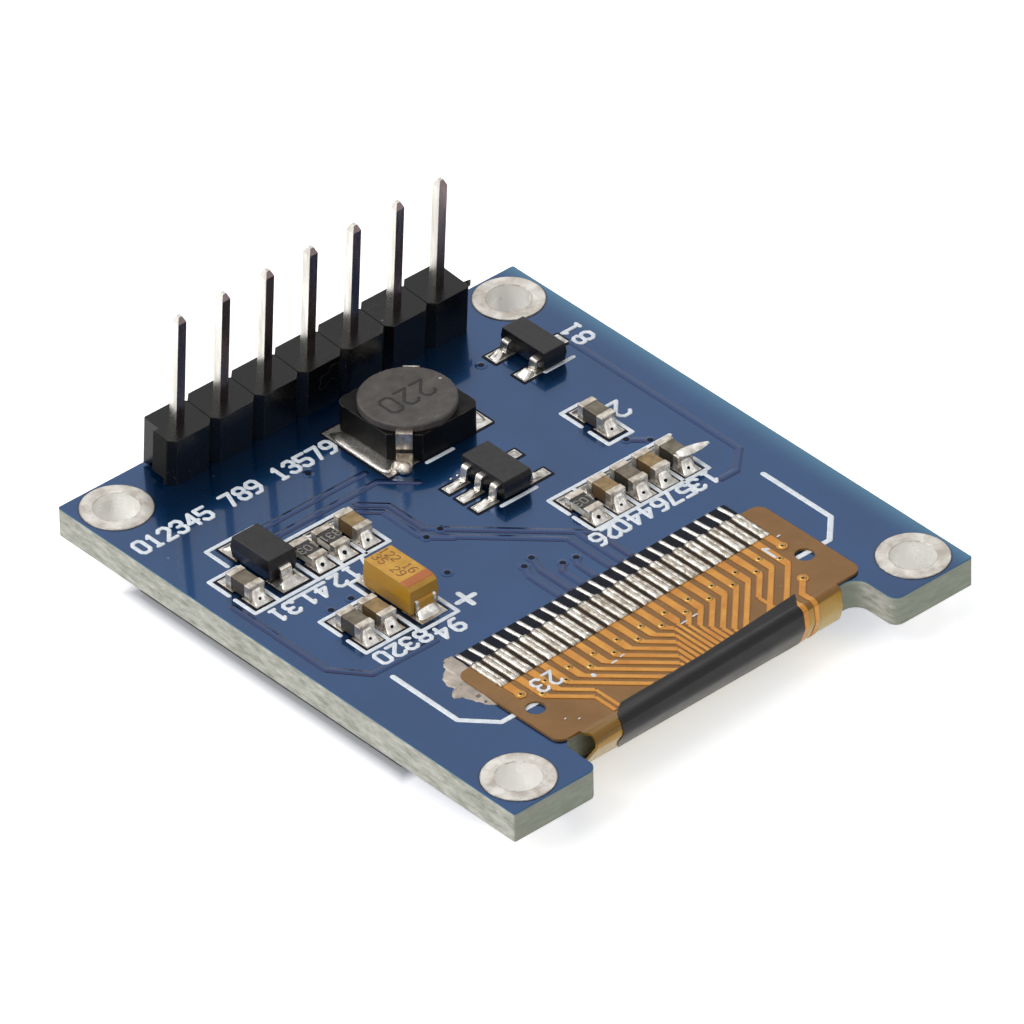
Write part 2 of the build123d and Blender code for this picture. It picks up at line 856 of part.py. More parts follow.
# Tantalum capacitor: leads come out at the ends and fold down and under the body
tantalum_parting = parting_height(tantalum_h, tantalum_exit)
with BuildPart() as tantalum_leads:
    lead_out = tantalum_l / 2 + tantalum_lead_t / 2
    for way in (-1, 1):
        with BuildSketch(along(tantalum_x, tantalum_y, way)):
            with BuildLine():
                FilletPolyline(
                    (tantalum_l / 2 - lead_embed, tantalum_parting),
                    (lead_out, tantalum_parting),
                    (lead_out, seat + tantalum_lead_t / 2),
                    (lead_out - tantalum_lead_under, seat + tantalum_lead_t / 2),
                    radius=lead_bend_r,
                )
            trace(line_width=tantalum_lead_t)
        extrude(amount=tantalum_lead_w / 2, both=True)
tantalum_leads.part.label = "tantalum_leads"
export_step(tantalum_leads.part, "parts/tantalum_leads.step")
make_package(
    "tantalum_body",
    (tantalum_x, tantalum_y),
    (tantalum_w, tantalum_l, tantalum_h),
    tantalum_exit,
    tantalum_leads.part,
    draft=tantalum_draft,
    bevel=tantalum_bevel,
)

# Places of the tinned pads: chips and end-leaded parts one behind the other along Y
end_pads = []
chip_pad_y = (chip_pad_gap + chip_pad_l) / 2
for x, y in capacitor_places + resistor_places:
    end_pads += [(x, y - chip_pad_y), (x, y + chip_pad_y)]


def gull_pad_places(x, y, out, step, rows):
    """Places of the pads under a package's two rows of leads."""
    pad_x = out - gull_pad_l / 2
    return [(x + way * pad_x, y + row * step) for way, row in rows]


transistor_out = transistor_w / 2 + transistor_lead_reach + transistor_pad_margin
transistor_pads = gull_pad_places(
    transistor_x, transistor_y, transistor_out, transistor_lead_step, transistor_lead_rows
)
regulator_out = regulator_w / 2 + regulator_lead_reach + regulator_pad_margin
regulator_pads = gull_pad_places(
    regulator_x, regulator_y, regulator_out, regulator_lead_step, regulator_lead_rows
)
diode_pad_y = diode_l / 2 + diode_lead_reach - diode_pad_l / 2 + diode_pad_margin
tantalum_pad_y = tantalum_l / 2 + tantalum_lead_t - tantalum_pad_l / 2 + tantalum_pad_margin

with BuildPart() as solder_pads:
    with BuildSketch(Plane.XY.offset(board_top)):
        with Locations(*end_pads):
            Rectangle(chip_pad_w, chip_pad_l)
        with Locations(*transistor_pads):
            Rectangle(gull_pad_l, transistor_pad_w)
        with Locations(*regulator_pads):
            Rectangle(gull_pad_l, regulator_pad_w)
        with Locations((diode_x, diode_y)):
            with GridLocations(0, 2 * diode_pad_y, 1, 2):
                Rectangle(diode_pad_w, diode_pad_l)
        with Locations((tantalum_x, tantalum_y)):
            with GridLocations(0, 2 * tantalum_pad_y, 1, 2):
                Rectangle(tantalum_pad_w, tantalum_pad_l)
        with Locations((inductor_x, inductor_y + inductor_pad_y)):
            with GridLocations(2 * inductor_pad_x, 0, 2, 1):
                Rectangle(inductor_pad_w, inductor_pad_l)
    extrude(amount=pad_t)
solder_pads.part.label = "solder_pads"
export_step(solder_pads.part, "parts/solder_pads.step")

# Solder fillets between each chip end and its pad, their faces hollow in two flats
with BuildPart() as solder_joints:
    for places, height in ((capacitor_places, capacitor_h), (resistor_places, resistor_h)):
        rise = height * chip_joint_share
        run = chip_pad_gap / 2 + chip_pad_l - chip_l / 2 - chip_joint_margin
        for x, y in places:
            for way in (-1, 1):
                with BuildSketch(along(x, y, way)):
                    with BuildLine():
                        Polyline(
                            (chip_l / 2 + run, seat),
                            (chip_l / 2, seat),
                            (chip_l / 2, seat + rise),
                            (chip_l / 2 + run * joint_hollow, seat + rise * joint_hollow),
                            close=True,
                        )
                    make_face()
                extrude(amount=chip_w / 2, both=True)
solder_joints.part.label = "solder_joints"
export_step(solder_joints.part, "parts/solder_joints.step")
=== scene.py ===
import bmesh
import bpy
import numpy as np
from mathutils import Matrix, Vector


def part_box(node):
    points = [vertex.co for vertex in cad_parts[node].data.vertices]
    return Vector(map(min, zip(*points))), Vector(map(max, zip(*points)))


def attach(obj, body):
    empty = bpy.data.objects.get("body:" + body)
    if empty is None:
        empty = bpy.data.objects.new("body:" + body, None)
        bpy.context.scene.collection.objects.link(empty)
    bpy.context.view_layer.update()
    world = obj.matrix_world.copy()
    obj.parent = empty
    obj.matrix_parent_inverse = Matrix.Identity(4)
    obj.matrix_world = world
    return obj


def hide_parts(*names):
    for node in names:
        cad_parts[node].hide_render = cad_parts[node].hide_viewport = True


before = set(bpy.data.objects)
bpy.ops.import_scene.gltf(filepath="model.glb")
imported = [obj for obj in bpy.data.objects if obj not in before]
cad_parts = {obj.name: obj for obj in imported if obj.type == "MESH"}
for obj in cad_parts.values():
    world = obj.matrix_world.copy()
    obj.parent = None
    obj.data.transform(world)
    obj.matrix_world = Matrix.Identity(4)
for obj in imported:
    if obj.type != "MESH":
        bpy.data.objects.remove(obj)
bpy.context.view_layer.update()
scene = bpy.context.scene
random = np.random.default_rng(23)
mm = 0.001

# Heights and places taken from the frame, in millimetres
low, high = (np.array(corner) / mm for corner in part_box("circuit_board"))
boardTop, boardLow, boardHalf = high[2], low[2], high[:2]
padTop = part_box("solder_pads")[1].z / mm
print("frame loaded, board top at", round(boardTop, 3), "mm")


def srgb(red, green, blue):
    # a colour as a picture shows it, 0 to 255, turned into linear light
    part = np.array([red, green, blue]) / 255
    linear = np.where(part < 0.04045, part / 12.92, ((part + 0.055) / 1.055) ** 2.4)
    return (*linear.tolist(), 1.0)


def addNode(tree, kind, inputs=None, **settings):
    # one shader node, each input given as a value or as another node's output
    node = tree.nodes.new(kind)
    for name, value in settings.items():
        setattr(node, name, value)
    for name, value in (inputs or {}).items():
        if isinstance(value, bpy.types.NodeSocket):
            tree.links.new(value, node.inputs[name])
        else:
            node.inputs[name].default_value = value
    return node


def newGroup(name, inputs, outputs):
    # an empty node group with its sockets, and its inner input and output nodes
    tree = bpy.data.node_groups.new(name, "ShaderNodeTree")
    for socketName, kind, value in inputs:
        socket = tree.interface.new_socket(socketName, in_out="INPUT", socket_type=kind)
        socket.default_value = value
    for socketName, kind in outputs:
        tree.interface.new_socket(socketName, in_out="OUTPUT", socket_type=kind)
    return tree, tree.nodes.new("NodeGroupInput"), tree.nodes.new("NodeGroupOutput")


def useGroup(tree, group, inputs):
    node = tree.nodes.new("ShaderNodeGroup")
    node.node_tree = group
    for name, value in inputs.items():
        if isinstance(value, bpy.types.NodeSocket):
            tree.links.new(value, node.inputs[name])
        else:
            node.inputs[name].default_value = value
    return node


def addMath(tree, operation, first, second=0.5, clamp=False):
    return addNode(
        tree, "ShaderNodeMath", {0: first, 1: second}, operation=operation, use_clamp=clamp
    ).outputs[0]


def remap(tree, value, fromLow, fromHigh, toLow=0.0, toHigh=1.0):
    return addNode(
        tree,
        "ShaderNodeMapRange",
        {
            "Value": value,
            "From Min": fromLow,
            "From Max": fromHigh,
            "To Min": toLow,
            "To Max": toHigh,
        },
    ).outputs["Result"]


def mixColours(tree, share, first, second, blend="MIX"):
    node = tree.nodes.new("ShaderNodeMix")
    node.data_type = "RGBA"
    node.blend_type = blend
    for index, value in ((0, share), (6, first), (7, second)):
        if isinstance(value, bpy.types.NodeSocket):
            tree.links.new(value, node.inputs[index])
        else:
            node.inputs[index].default_value = value
    return node.outputs[2]


# mottle: two colours mixed by soft noise that may be drawn out along one axis
mottle, ins, outs = newGroup(
    "mottle",
    [
        ("Light", "NodeSocketColor", (1, 1, 1, 1)),
        ("Dark", "NodeSocketColor", (0, 0, 0, 1)),
        ("Scale", "NodeSocketFloat", 400),
        ("Stretch", "NodeSocketVector", (1, 1, 1)),
        ("Spread", "NodeSocketFloat", 0.15),
    ],
    [("Color", "NodeSocketColor"), ("Mask", "NodeSocketFloat")],
)
place = addNode(mottle, "ShaderNodeTexCoord").outputs["Object"]
drawn = addNode(
    mottle, "ShaderNodeMapping", {"Vector": place, "Scale": ins.outputs["Stretch"]}
).outputs[0]
noise = addNode(
    mottle,
    "ShaderNodeTexNoise",
    {"Vector": drawn, "Scale": ins.outputs["Scale"], "Detail": 5.0, "Roughness": 0.6},
).outputs[0]
mask = remap(
    mottle,
    noise,
    addMath(mottle, "SUBTRACT", 0.5, ins.outputs["Spread"]),
    addMath(mottle, "ADD", 0.5, ins.outputs["Spread"]),
)
mottle.links.new(
    mixColours(mottle, mask, ins.outputs["Dark"], ins.outputs["Light"]), outs.inputs["Color"]
)
mottle.links.new(mask, outs.inputs["Mask"])

# softEdge: rounds the look of edges by Radius and adds a fine grain to the surface
softEdge, ins, outs = newGroup(
    "softEdge",
    [
        ("Grain", "NodeSocketFloat", 3000),
        ("Depth", "NodeSocketFloat", 0.000004),
        ("Strength", "NodeSocketFloat", 0.5),
        ("Radius", "NodeSocketFloat", 0.00004),
        ("Stretch", "NodeSocketVector", (1, 1, 1)),
    ],
    [("Normal", "NodeSocketVector")],
)
place = addNode(softEdge, "ShaderNodeTexCoord").outputs["Object"]
drawn = addNode(
    softEdge, "ShaderNodeMapping", {"Vector": place, "Scale": ins.outputs["Stretch"]}
).outputs[0]
noise = addNode(
    softEdge,
    "ShaderNodeTexNoise",
    {"Vector": drawn, "Scale": ins.outputs["Grain"], "Detail": 3.0, "Roughness": 0.55},
).outputs[0]
rounded = addNode(
    softEdge, "ShaderNodeBevel", {"Radius": ins.outputs["Radius"]}, samples=4
).outputs[0]
bumped = addNode(
    softEdge,
    "ShaderNodeBump",
    {
        "Height": noise,
        "Distance": ins.outputs["Depth"],
        "Strength": ins.outputs["Strength"],
        "Normal": rounded,
    },
).outputs[0]
softEdge.links.new(bumped, outs.inputs["Normal"])

# edgeWear: where the rounded normal leaves the flat one, broken up by noise
edgeWear, ins, outs = newGroup(
    "edgeWear",
    [
        ("Radius", "NodeSocketFloat", 0.00005),
        ("Scale", "NodeSocketFloat", 2500),
        ("Level", "NodeSocketFloat", 0.85),
    ],
    [("Mask", "NodeSocketFloat")],
)
rounded = addNode(
    edgeWear, "ShaderNodeBevel", {"Radius": ins.outputs["Radius"]}, samples=4
).outputs[0]
flat = addNode(edgeWear, "ShaderNodeNewGeometry").outputs["Normal"]
agree = addNode(
    edgeWear, "ShaderNodeVectorMath", {0: rounded, 1: flat}, operation="DOT_PRODUCT"
).outputs["Value"]
place = addNode(edgeWear, "ShaderNodeTexCoord").outputs["Object"]
noise = addNode(
    edgeWear, "ShaderNodeTexNoise", {"Vector": place, "Scale": ins.outputs["Scale"]}
).outputs[0]
edgeWear.links.new(
    addMath(
        edgeWear,
        "MULTIPLY",
        remap(edgeWear, agree, 0.99, ins.outputs["Level"]),
        remap(edgeWear, noise, 0.35, 0.6),
        clamp=True,
    ),
    outs.inputs["Mask"],
)

# specks: small round spots, one in some of the cells of a scattered grid
specks, ins, outs = newGroup(
    "specks",
    [
        ("Scale", "NodeSocketFloat", 900),
        ("Size", "NodeSocketFloat", 0.12),
        ("Share", "NodeSocketFloat", 0.2),
    ],
    [("Mask", "NodeSocketFloat")],
)
place = addNode(specks, "ShaderNodeTexCoord").outputs["Object"]
cells = addNode(specks, "ShaderNodeTexVoronoi", {"Vector": place, "Scale": ins.outputs["Scale"]})
pick = addNode(specks, "ShaderNodeSeparateColor", {"Color": cells.outputs["Color"]}).outputs[0]
specks.links.new(
    addMath(
        specks,
        "MULTIPLY",
        addMath(specks, "LESS_THAN", cells.outputs["Distance"], ins.outputs["Size"]),
        addMath(specks, "LESS_THAN", pick, ins.outputs["Share"]),
    ),
    outs.inputs["Mask"],
)

# scratches: hairlines where drawn-out noise crosses one narrow level
scratches, ins, outs = newGroup(
    "scratches",
    [
        ("Scale", "NodeSocketFloat", 300),
        ("Turn", "NodeSocketVector", (0, 0, 0.5)),
        ("Stretch", "NodeSocketVector", (1, 12, 1)),
        ("Width", "NodeSocketFloat", 0.004),
    ],
    [("Mask", "NodeSocketFloat")],
)
place = addNode(scratches, "ShaderNodeTexCoord").outputs["Object"]
drawn = addNode(
    scratches,
    "ShaderNodeMapping",
    {"Vector": place, "Rotation": ins.outputs["Turn"], "Scale": ins.outputs["Stretch"]},
).outputs[0]
noise = addNode(
    scratches, "ShaderNodeTexNoise", {"Vector": drawn, "Scale": ins.outputs["Scale"], "Detail": 1.0}
).outputs[0]
offLevel = addMath(scratches, "ABSOLUTE", addMath(scratches, "SUBTRACT", noise, 0.5))
patches = addNode(
    scratches, "ShaderNodeTexNoise", {"Vector": place, "Scale": 350.0, "Detail": 1.0}
).outputs[0]
scratches.links.new(
    addMath(
        scratches,
        "MULTIPLY",
        addMath(scratches, "LESS_THAN", offLevel, ins.outputs["Width"]),
        remap(scratches, patches, 0.52, 0.6),
        clamp=True,
    ),
    outs.inputs["Mask"],
)
print("shared effects built")


def startMaterial(name):
    material = bpy.data.materials.new(name)
    material.use_nodes = True
    tree = material.node_tree
    return material, tree, tree.nodes["Principled BSDF"]


def setShader(tree, shader, **values):
    # Principled inputs by name, with _ for a space
    for name, value in values.items():
        socket = shader.inputs[name.replace("_", " ")]
        if isinstance(value, bpy.types.NodeSocket):
            tree.links.new(value, socket)
        else:
            socket.default_value = value


def dressPlain(name, look):
    # the common finish: mottled colour, worn edges, uneven gloss, rounded edges and grain
    material, tree, shader = startMaterial(name)
    shade = useGroup(
        tree,
        mottle,
        {
            "Light": srgb(*look["light"]),
            "Dark": srgb(*look["dark"]),
            "Scale": look["scale"],
            "Stretch": look.get("stretch", (1, 1, 1)),
            "Spread": look.get("spread", 0.15),
        },
    )
    colour = shade.outputs["Color"]
    # the side colour paints the upright faces: painted shade where it is darker than the face, painted light
    # where it is lighter
    if "side" in look:
        colour = mixColours(tree, slopeMask(tree), srgb(*look["side"]), colour)
    # painted shade: faces turned the given way are darkened towards this colour
    if "dullAndShade" in look:
        colour = mixColours(tree, turnedTo(tree, look["shadedWay"]), colour, srgb(*look["dullAndShade"]))
    if "worn" in look:
        wear = useGroup(tree, edgeWear, {"Radius": look.get("wornRadius", 0.00006)})
        colour = mixColours(tree, wear.outputs["Mask"], colour, srgb(*look["worn"]))
    if "speck" in look:
        spots = useGroup(tree, specks, look.get("specks", {}))
        colour = mixColours(tree, spots.outputs["Mask"], colour, srgb(*look["speck"]))
    smooth, dullAndShade = look["rough"]
    metal = look.get("metal", 0.0)
    if "sideMetal" in look:
        metal = remap(tree, slopeMask(tree), 0, 1, look["sideMetal"], metal)
    setShader(
        tree,
        shader,
        Base_Color=colour,
        Roughness=remap(tree, shade.outputs["Mask"], 0, 1, dullAndShade, smooth),
        Metallic=metal,
        Specular_IOR_Level=look.get("shine", 0.5),
        Coat_Weight=look.get("coat", 0.0),
        Normal=useGroup(
            tree,
            softEdge,
            {
                "Grain": look.get("grain", 3000),
                "Depth": look.get("depth", 0.000004),
                "Strength": look.get("strength", 0.5),
                "Radius": look.get("radius", 0.00004),
                "Stretch": look.get("grainStretch", (1, 1, 1)),
            },
        ).outputs["Normal"],
    )
    if "coat" in look:
        shader.inputs["Coat Roughness"].default_value = look.get("coatRough", 0.1)
    return material


def slopeMask(tree, flatFrom=0.6, flatTo=0.9):
    # 1 on faces that look straight up or down, 0 on upright ones
    normal = addNode(tree, "ShaderNodeTexCoord").outputs["Normal"]
    rise = addNode(tree, "ShaderNodeSeparateXYZ", {0: normal}).outputs["Z"]
    return remap(tree, addMath(tree, "ABSOLUTE", rise), flatFrom, flatTo)


def turnedTo(tree, way, lowest=0.5, highest=0.8):
    # 1 on faces that look along the given direction of the frame
    normal = addNode(tree, "ShaderNodeTexCoord").outputs["Normal"]
    along = addNode(tree, "ShaderNodeVectorMath", {0: normal, 1: way}, operation="DOT_PRODUCT")
    return remap(tree, along.outputs["Value"], lowest, highest)


def objectAxis(tree, axis):
    place = addNode(tree, "ShaderNodeTexCoord").outputs["Object"]
    return addNode(tree, "ShaderNodeSeparateXYZ", {0: place}).outputs[axis]


boardLook = {
    "mask": (0, 67, 120),
    "maskDeep": (0, 59, 108),
    "rim": (44, 100, 132),
    "laminate": (206, 205, 197),
    "laminateDark": (140, 141, 128),
    "laminateShadedGreen": (134, 150, 130),
    "maskOverlap": 0.09,
    "gloss": (0.24, 0.3),
    "sheen": 0.85,
    "coat": 0.8,
    "coatRough": 0.07,
    "paintedEdgeSheen": (62, 118, 150),
    "sheenReach": 1.5,
    "ringRadius": 1.66,
    "ringShadow": (8, 14, 40),
    "ringReach": 0.11,
}


def dressBoard():
    # blue mask on the faces, with a painted sheen towards one edge and a painted shadow round each ring; on the
    # cut sides glass laminate in layers, with painted shade on the sides facing along Y, and the ink's lip above
    material, tree, shader = startMaterial("blueMask")
    cloud = useGroup(
        tree,
        mottle,
        {
            "Light": srgb(*boardLook["mask"]),
            "Dark": srgb(*boardLook["maskDeep"]),
            "Scale": 260,
            "Spread": 0.2,
        },
    )
    fibre = useGroup(
        tree,
        mottle,
        {
            "Light": srgb(*boardLook["laminate"]),
            "Dark": srgb(*boardLook["laminateDark"]),
            "Scale": 2600,
            "Stretch": (0.5, 0.5, 1.6),
            "Spread": 0.2,
        },
    )
    shadedGreener = useGroup(
        tree,
        mottle,
        {
            "Light": srgb(*boardLook["laminateShadedGreen"]),
            "Dark": srgb(*boardLook["laminateDark"]),
            "Scale": 700,
            "Stretch": (0.5, 0.5, 1.8),
            "Spread": 0.25,
        },
    )
    normal = addNode(tree, "ShaderNodeTexCoord").outputs["Normal"]
    facing = addNode(tree, "ShaderNodeSeparateXYZ", {0: normal}).outputs["Y"]
    # painted shade: the cut sides facing along Y are darker and more green than those facing along X
    side = mixColours(
        tree,
        remap(tree, addMath(tree, "ABSOLUTE", facing), 0.3, 0.8, 0.1, 0.75),
        fibre.outputs["Color"],
        shadedGreener.outputs["Color"],
    )
    height = objectAxis(tree, "Z")
    lip = boardLook["maskOverlap"] * mm
    inkTop = remap(tree, height, boardTop * mm - lip, boardTop * mm - 0.4 * lip)
    side = mixColours(tree, inkTop, side, srgb(*boardLook["rim"]))
    flat = slopeMask(tree)
    dust = useGroup(tree, specks, {"Scale": 1300, "Size": 0.09, "Share": 0.05})
    # painted sheen: the mask grows lighter over the last stretch before the +X edge
    sheenNearEdge = remap(
        tree,
        objectAxis(tree, "X"),
        (boardHalf[0] - boardLook["sheenReach"]) * mm,
        boardHalf[0] * mm,
    )
    face = mixColours(
        tree,
        addMath(tree, "POWER", sheenNearEdge, 2.2),
        cloud.outputs["Color"],
        srgb(*boardLook["paintedEdgeSheen"]),
    )
    face = mixColours(
        tree, addMath(tree, "MULTIPLY", dust.outputs["Mask"], 0.5), face, srgb(150, 165, 185)
    )
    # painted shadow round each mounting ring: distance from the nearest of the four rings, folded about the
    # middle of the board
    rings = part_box("mounting_rings")[1]
    offX, offY = (
        addMath(
            tree,
            "SUBTRACT",
            addMath(tree, "ABSOLUTE", objectAxis(tree, axis)),
            reach - boardLook["ringRadius"] * mm,
        )
        for axis, reach in (("X", rings.x), ("Y", rings.y))
    )
    apart = addNode(
        tree,
        "ShaderNodeVectorMath",
        {0: addNode(tree, "ShaderNodeCombineXYZ", {"X": offX, "Y": offY}).outputs["Vector"]},
        operation="LENGTH",
    ).outputs["Value"]
    edge = boardLook["ringRadius"] * mm
    ringShadowShare = remap(tree, apart, edge, edge + boardLook["ringReach"] * mm, 1.0, 0.0)
    face = mixColours(tree, ringShadowShare, face, srgb(*boardLook["ringShadow"]))
    weave = useGroup(
        tree,
        softEdge,
        {"Grain": 900, "Depth": 0.000006, "Strength": 0.25, "Radius": 0.00005},
    )
    setShader(
        tree,
        shader,
        Base_Color=mixColours(tree, flat, side, face),
        Roughness=addMath(
            tree,
            "ADD",
            remap(tree, cloud.outputs["Mask"], 0, 1, *boardLook["gloss"]),
            remap(tree, flat, 0, 1, 0.5, 0.0),
        ),
        Metallic=addMath(tree, "MULTIPLY", flat, boardLook["sheen"]),
        Coat_Weight=addMath(tree, "MULTIPLY", flat, boardLook["coat"]),
        Coat_Roughness=boardLook["coatRough"],
        Normal=weave.outputs["Normal"],
    )
    return material


plainLooks = {
    "ring_tin": {
        "light": (236, 232, 224),
        "dark": (190, 182, 172),
        "scale": 1400,
        "rough": (0.24, 0.45),
        "metal": 0.85,
        # painted light: the upright wall of the hole is lighter and less metallic than the ring's face
        "side": (248, 246, 240),
        "sideMetal": 0.25,
        "worn": (132, 120, 110),
        "wornRadius": 0.0001,
        "grain": 1800,
        "depth": 0.000012,
        "radius": 0.00004,
    },
    "pin_metal": {
        "light": (240, 237, 230),
        "dark": (206, 202, 194),
        # painted shade on the faces turned to -Y
        "dullAndShade": (130, 115, 116),
        "shadedWay": (0, -1, 0),
        "scale": 2200,
        "stretch": (1, 1, 0.12),
        "rough": (0.2, 0.34),
        "metal": 1.0,
        "grain": 5000,
        "grainStretch": (1, 1, 0.08),
        "depth": 0.000003,
        "radius": 0.00004,
    },
    "solder": {
        "light": (250, 247, 242),
        "dark": (196, 190, 182),
        "scale": 2600,
        "rough": (0.14, 0.34),
        "metal": 0.95,
        "grain": 2600,
        "depth": 0.00002,
        "strength": 0.6,
        "radius": 0.00003,
    },
    "pad_tin": {
        "light": (240, 237, 230),
        "dark": (176, 170, 162),
        "scale": 2400,
        "rough": (0.2, 0.4),
        "metal": 0.9,
        "grain": 2400,
        "depth": 0.00001,
        "radius": 0.00002,
    },
    "lead_tin": {
        "light": (244, 241, 235),
        "dark": (196, 190, 182),
        "scale": 2600,
        "rough": (0.2, 0.36),
        "metal": 0.95,
        "grain": 3400,
        "radius": 0.00004,
    },
    "end_tin": {
        "light": (232, 224, 212),
        "dark": (168, 156, 142),
        "scale": 2600,
        "rough": (0.24, 0.42),
        "metal": 0.85,
        "grain": 3200,
        "depth": 0.00001,
        "radius": 0.00005,
    },
    "package_plastic": {
        "light": (14, 13, 14),
        "dark": (8, 7, 8),
        "scale": 3200,
        "rough": (0.3, 0.44),
        "worn": (44, 41, 40),
        "wornRadius": 0.00005,
        "speck": (120, 118, 116),
        "specks": {"Scale": 1800, "Size": 0.08, "Share": 0.03},
        "grain": 5200,
        "depth": 0.000008,
        "strength": 0.7,
        "radius": 0.0001,
    },
    "ferrite_base": {
        "light": (14, 13, 12),
        "dark": (5, 5, 5),
        "scale": 2400,
        "shine": 0.16,
        "rough": (0.34, 0.5),
        "worn": (110, 104, 98),
        "wornRadius": 0.00005,
        "grain": 4200,
        "depth": 0.000008,
        "radius": 0.00005,
    },
    "winding_copper": {
        "light": (190, 104, 52),
        "dark": (140, 66, 30),
        "scale": 1600,
        "stretch": (0.3, 0.3, 6),
        "rough": (0.25, 0.35),
        "metal": 0.8,
        "coat": 0.6,
        "grain": 900,
        "grainStretch": (0.2, 0.2, 6),
        "depth": 0.00003,
    },
    "capacitor_ceramic": {
        "light": (164, 137, 92),
        "dark": (128, 104, 66),
        # painted shade: the upright faces are darker than the top
        "side": (96, 76, 46),
        "scale": 2600,
        "rough": (0.4, 0.55),
        "worn": (170, 154, 122),
        "wornRadius": 0.00004,
        "grain": 4800,
        "depth": 0.000006,
        "radius": 0.00004,
    },
    "display_glass": {
        "light": (12, 13, 16),
        "dark": (7, 8, 10),
        "scale": 300,
        "rough": (0.03, 0.06),
        "grain": 400,
        "depth": 0.0000005,
        "radius": 0.00003,
        "coat": 0.5,
        "coatRough": 0.02,
    },
    "cover_glass": {
        "light": (24, 26, 28),
        "dark": (14, 15, 17),
        "scale": 500,
        "rough": (0.12, 0.2),
        "grain": 1200,
        "depth": 0.000001,
        "radius": 0.00003,
    },
    "polariser": {
        "light": (20, 20, 24),
        "dark": (14, 14, 17),
        "scale": 700,
        "rough": (0.1, 0.16),
        "speck": (70, 70, 76),
        "specks": {"Scale": 700, "Size": 0.05, "Share": 0.06},
        "grain": 1800,
        "depth": 0.000001,
        "radius": 0.00003,
    },
    "silicon": {
        "light": (74, 76, 84),
        "dark": (56, 58, 66),
        "scale": 1500,
        "rough": (0.12, 0.2),
        "grain": 3000,
        "depth": 0.000001,
    },
    "adhesive": {
        "light": (64, 64, 62),
        "dark": (44, 44, 43),
        "scale": 1800,
        "rough": (0.6, 0.8),
        "grain": 2600,
        "depth": 0.00001,
    },
    "flux": {
        "light": (196, 184, 170),
        "dark": (138, 126, 114),
        "scale": 1100,
        "spread": 0.2,
        "rough": (0.22, 0.5),
        "metal": 0.25,
        "coat": 0.5,
        "coatRough": 0.2,
        "speck": (96, 84, 72),
        "specks": {"Scale": 2200, "Size": 0.25, "Share": 0.15},
        "grain": 2200,
        "depth": 0.00003,
        "radius": 0.00002,
    },
}

looks = {name: dressPlain(name, look) for name, look in plainLooks.items()}
looks["solder_mask"] = dressBoard()
looks["landing_tin"] = looks["pad_tin"]
looks["finger_tin"] = looks["solder"]


def dressResistor():
    # white alumina with a black glaze on its upper face
    material, tree, shader = startMaterial("resistorBlock")
    glaze = useGroup(
        tree,
        mottle,
        {"Light": srgb(46, 42, 40), "Dark": srgb(30, 28, 27), "Scale": 2600},
    )
    alumina = useGroup(
        tree,
        mottle,
        {"Light": srgb(214, 210, 200), "Dark": srgb(178, 172, 160), "Scale": 2600},
    )
    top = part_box("resistor_1_body")[1].z
    upper = remap(tree, objectAxis(tree, "Z"), top - 0.00012, top - 0.00008)
    setShader(
        tree,
        shader,
        Base_Color=mixColours(tree, upper, alumina.outputs["Color"], glaze.outputs["Color"]),
        Roughness=remap(tree, glaze.outputs["Mask"], 0, 1, 0.35, 0.25),
        Normal=useGroup(tree, softEdge, {"Grain": 4000, "Radius": 0.00004}).outputs["Normal"],
    )
    return material


headerLook = {"segment": 2.54, "line": 0.035, "shine": 0.33, "light": (12, 11, 12), "dark": (6, 6, 6)}


def dressHeader():
    # black moulding, with a fine dark line of painted shade in the groove where one pin's segment meets the next
    material, tree, shader = startMaterial("headerPlastic")
    shade = useGroup(
        tree,
        mottle,
        {"Light": srgb(*headerLook["light"]), "Dark": srgb(*headerLook["dark"]), "Scale": 1800},
    )
    half = headerLook["segment"] / 2 * mm
    offLine = addMath(
        tree, "PINGPONG", addMath(tree, "SUBTRACT", objectAxis(tree, "X"), half), half
    )
    # painted shade: the groove between segments is drawn as a near-black line
    line = addMath(tree, "LESS_THAN", offLine, headerLook["line"] * mm)
    marks = useGroup(tree, scratches, {"Scale": 700, "Width": 0.003, "Turn": (0, 0, 0.7)})
    dust = useGroup(tree, specks, {"Scale": 1500, "Size": 0.1, "Share": 0.04})
    wear = useGroup(tree, edgeWear, {"Radius": 0.00005})
    light = addMath(
        tree,
        "MAXIMUM",
        addMath(tree, "MULTIPLY", marks.outputs["Mask"], 0.5),
        addMath(tree, "MAXIMUM", addMath(tree, "MULTIPLY", wear.outputs["Mask"], 0.5), dust.outputs["Mask"]),
    )
    colour = mixColours(tree, light, shade.outputs["Color"], srgb(104, 100, 98))
    setShader(
        tree,
        shader,
        Base_Color=mixColours(tree, line, colour, srgb(2, 2, 2)),
        Roughness=addMath(
            tree, "ADD", remap(tree, shade.outputs["Mask"], 0, 1, 0.3, 0.2), addMath(tree, "MULTIPLY", line, 0.6)
        ),
        Specular_IOR_Level=headerLook["shine"],
        Normal=useGroup(
            tree, softEdge, {"Grain": 2600, "Depth": 0.000006, "Radius": 0.00006}
        ).outputs["Normal"],
    )
    return material


tantalumLook = {
    "case": (214, 164, 62),
    "caseDark": (186, 134, 38),
    # painted shade: the upright faces are darker than the top
    "side": (176, 130, 36),
    "band": (178, 98, 44),
    "bandFrom": 0.1,
    "bandTo": 0.72,
}


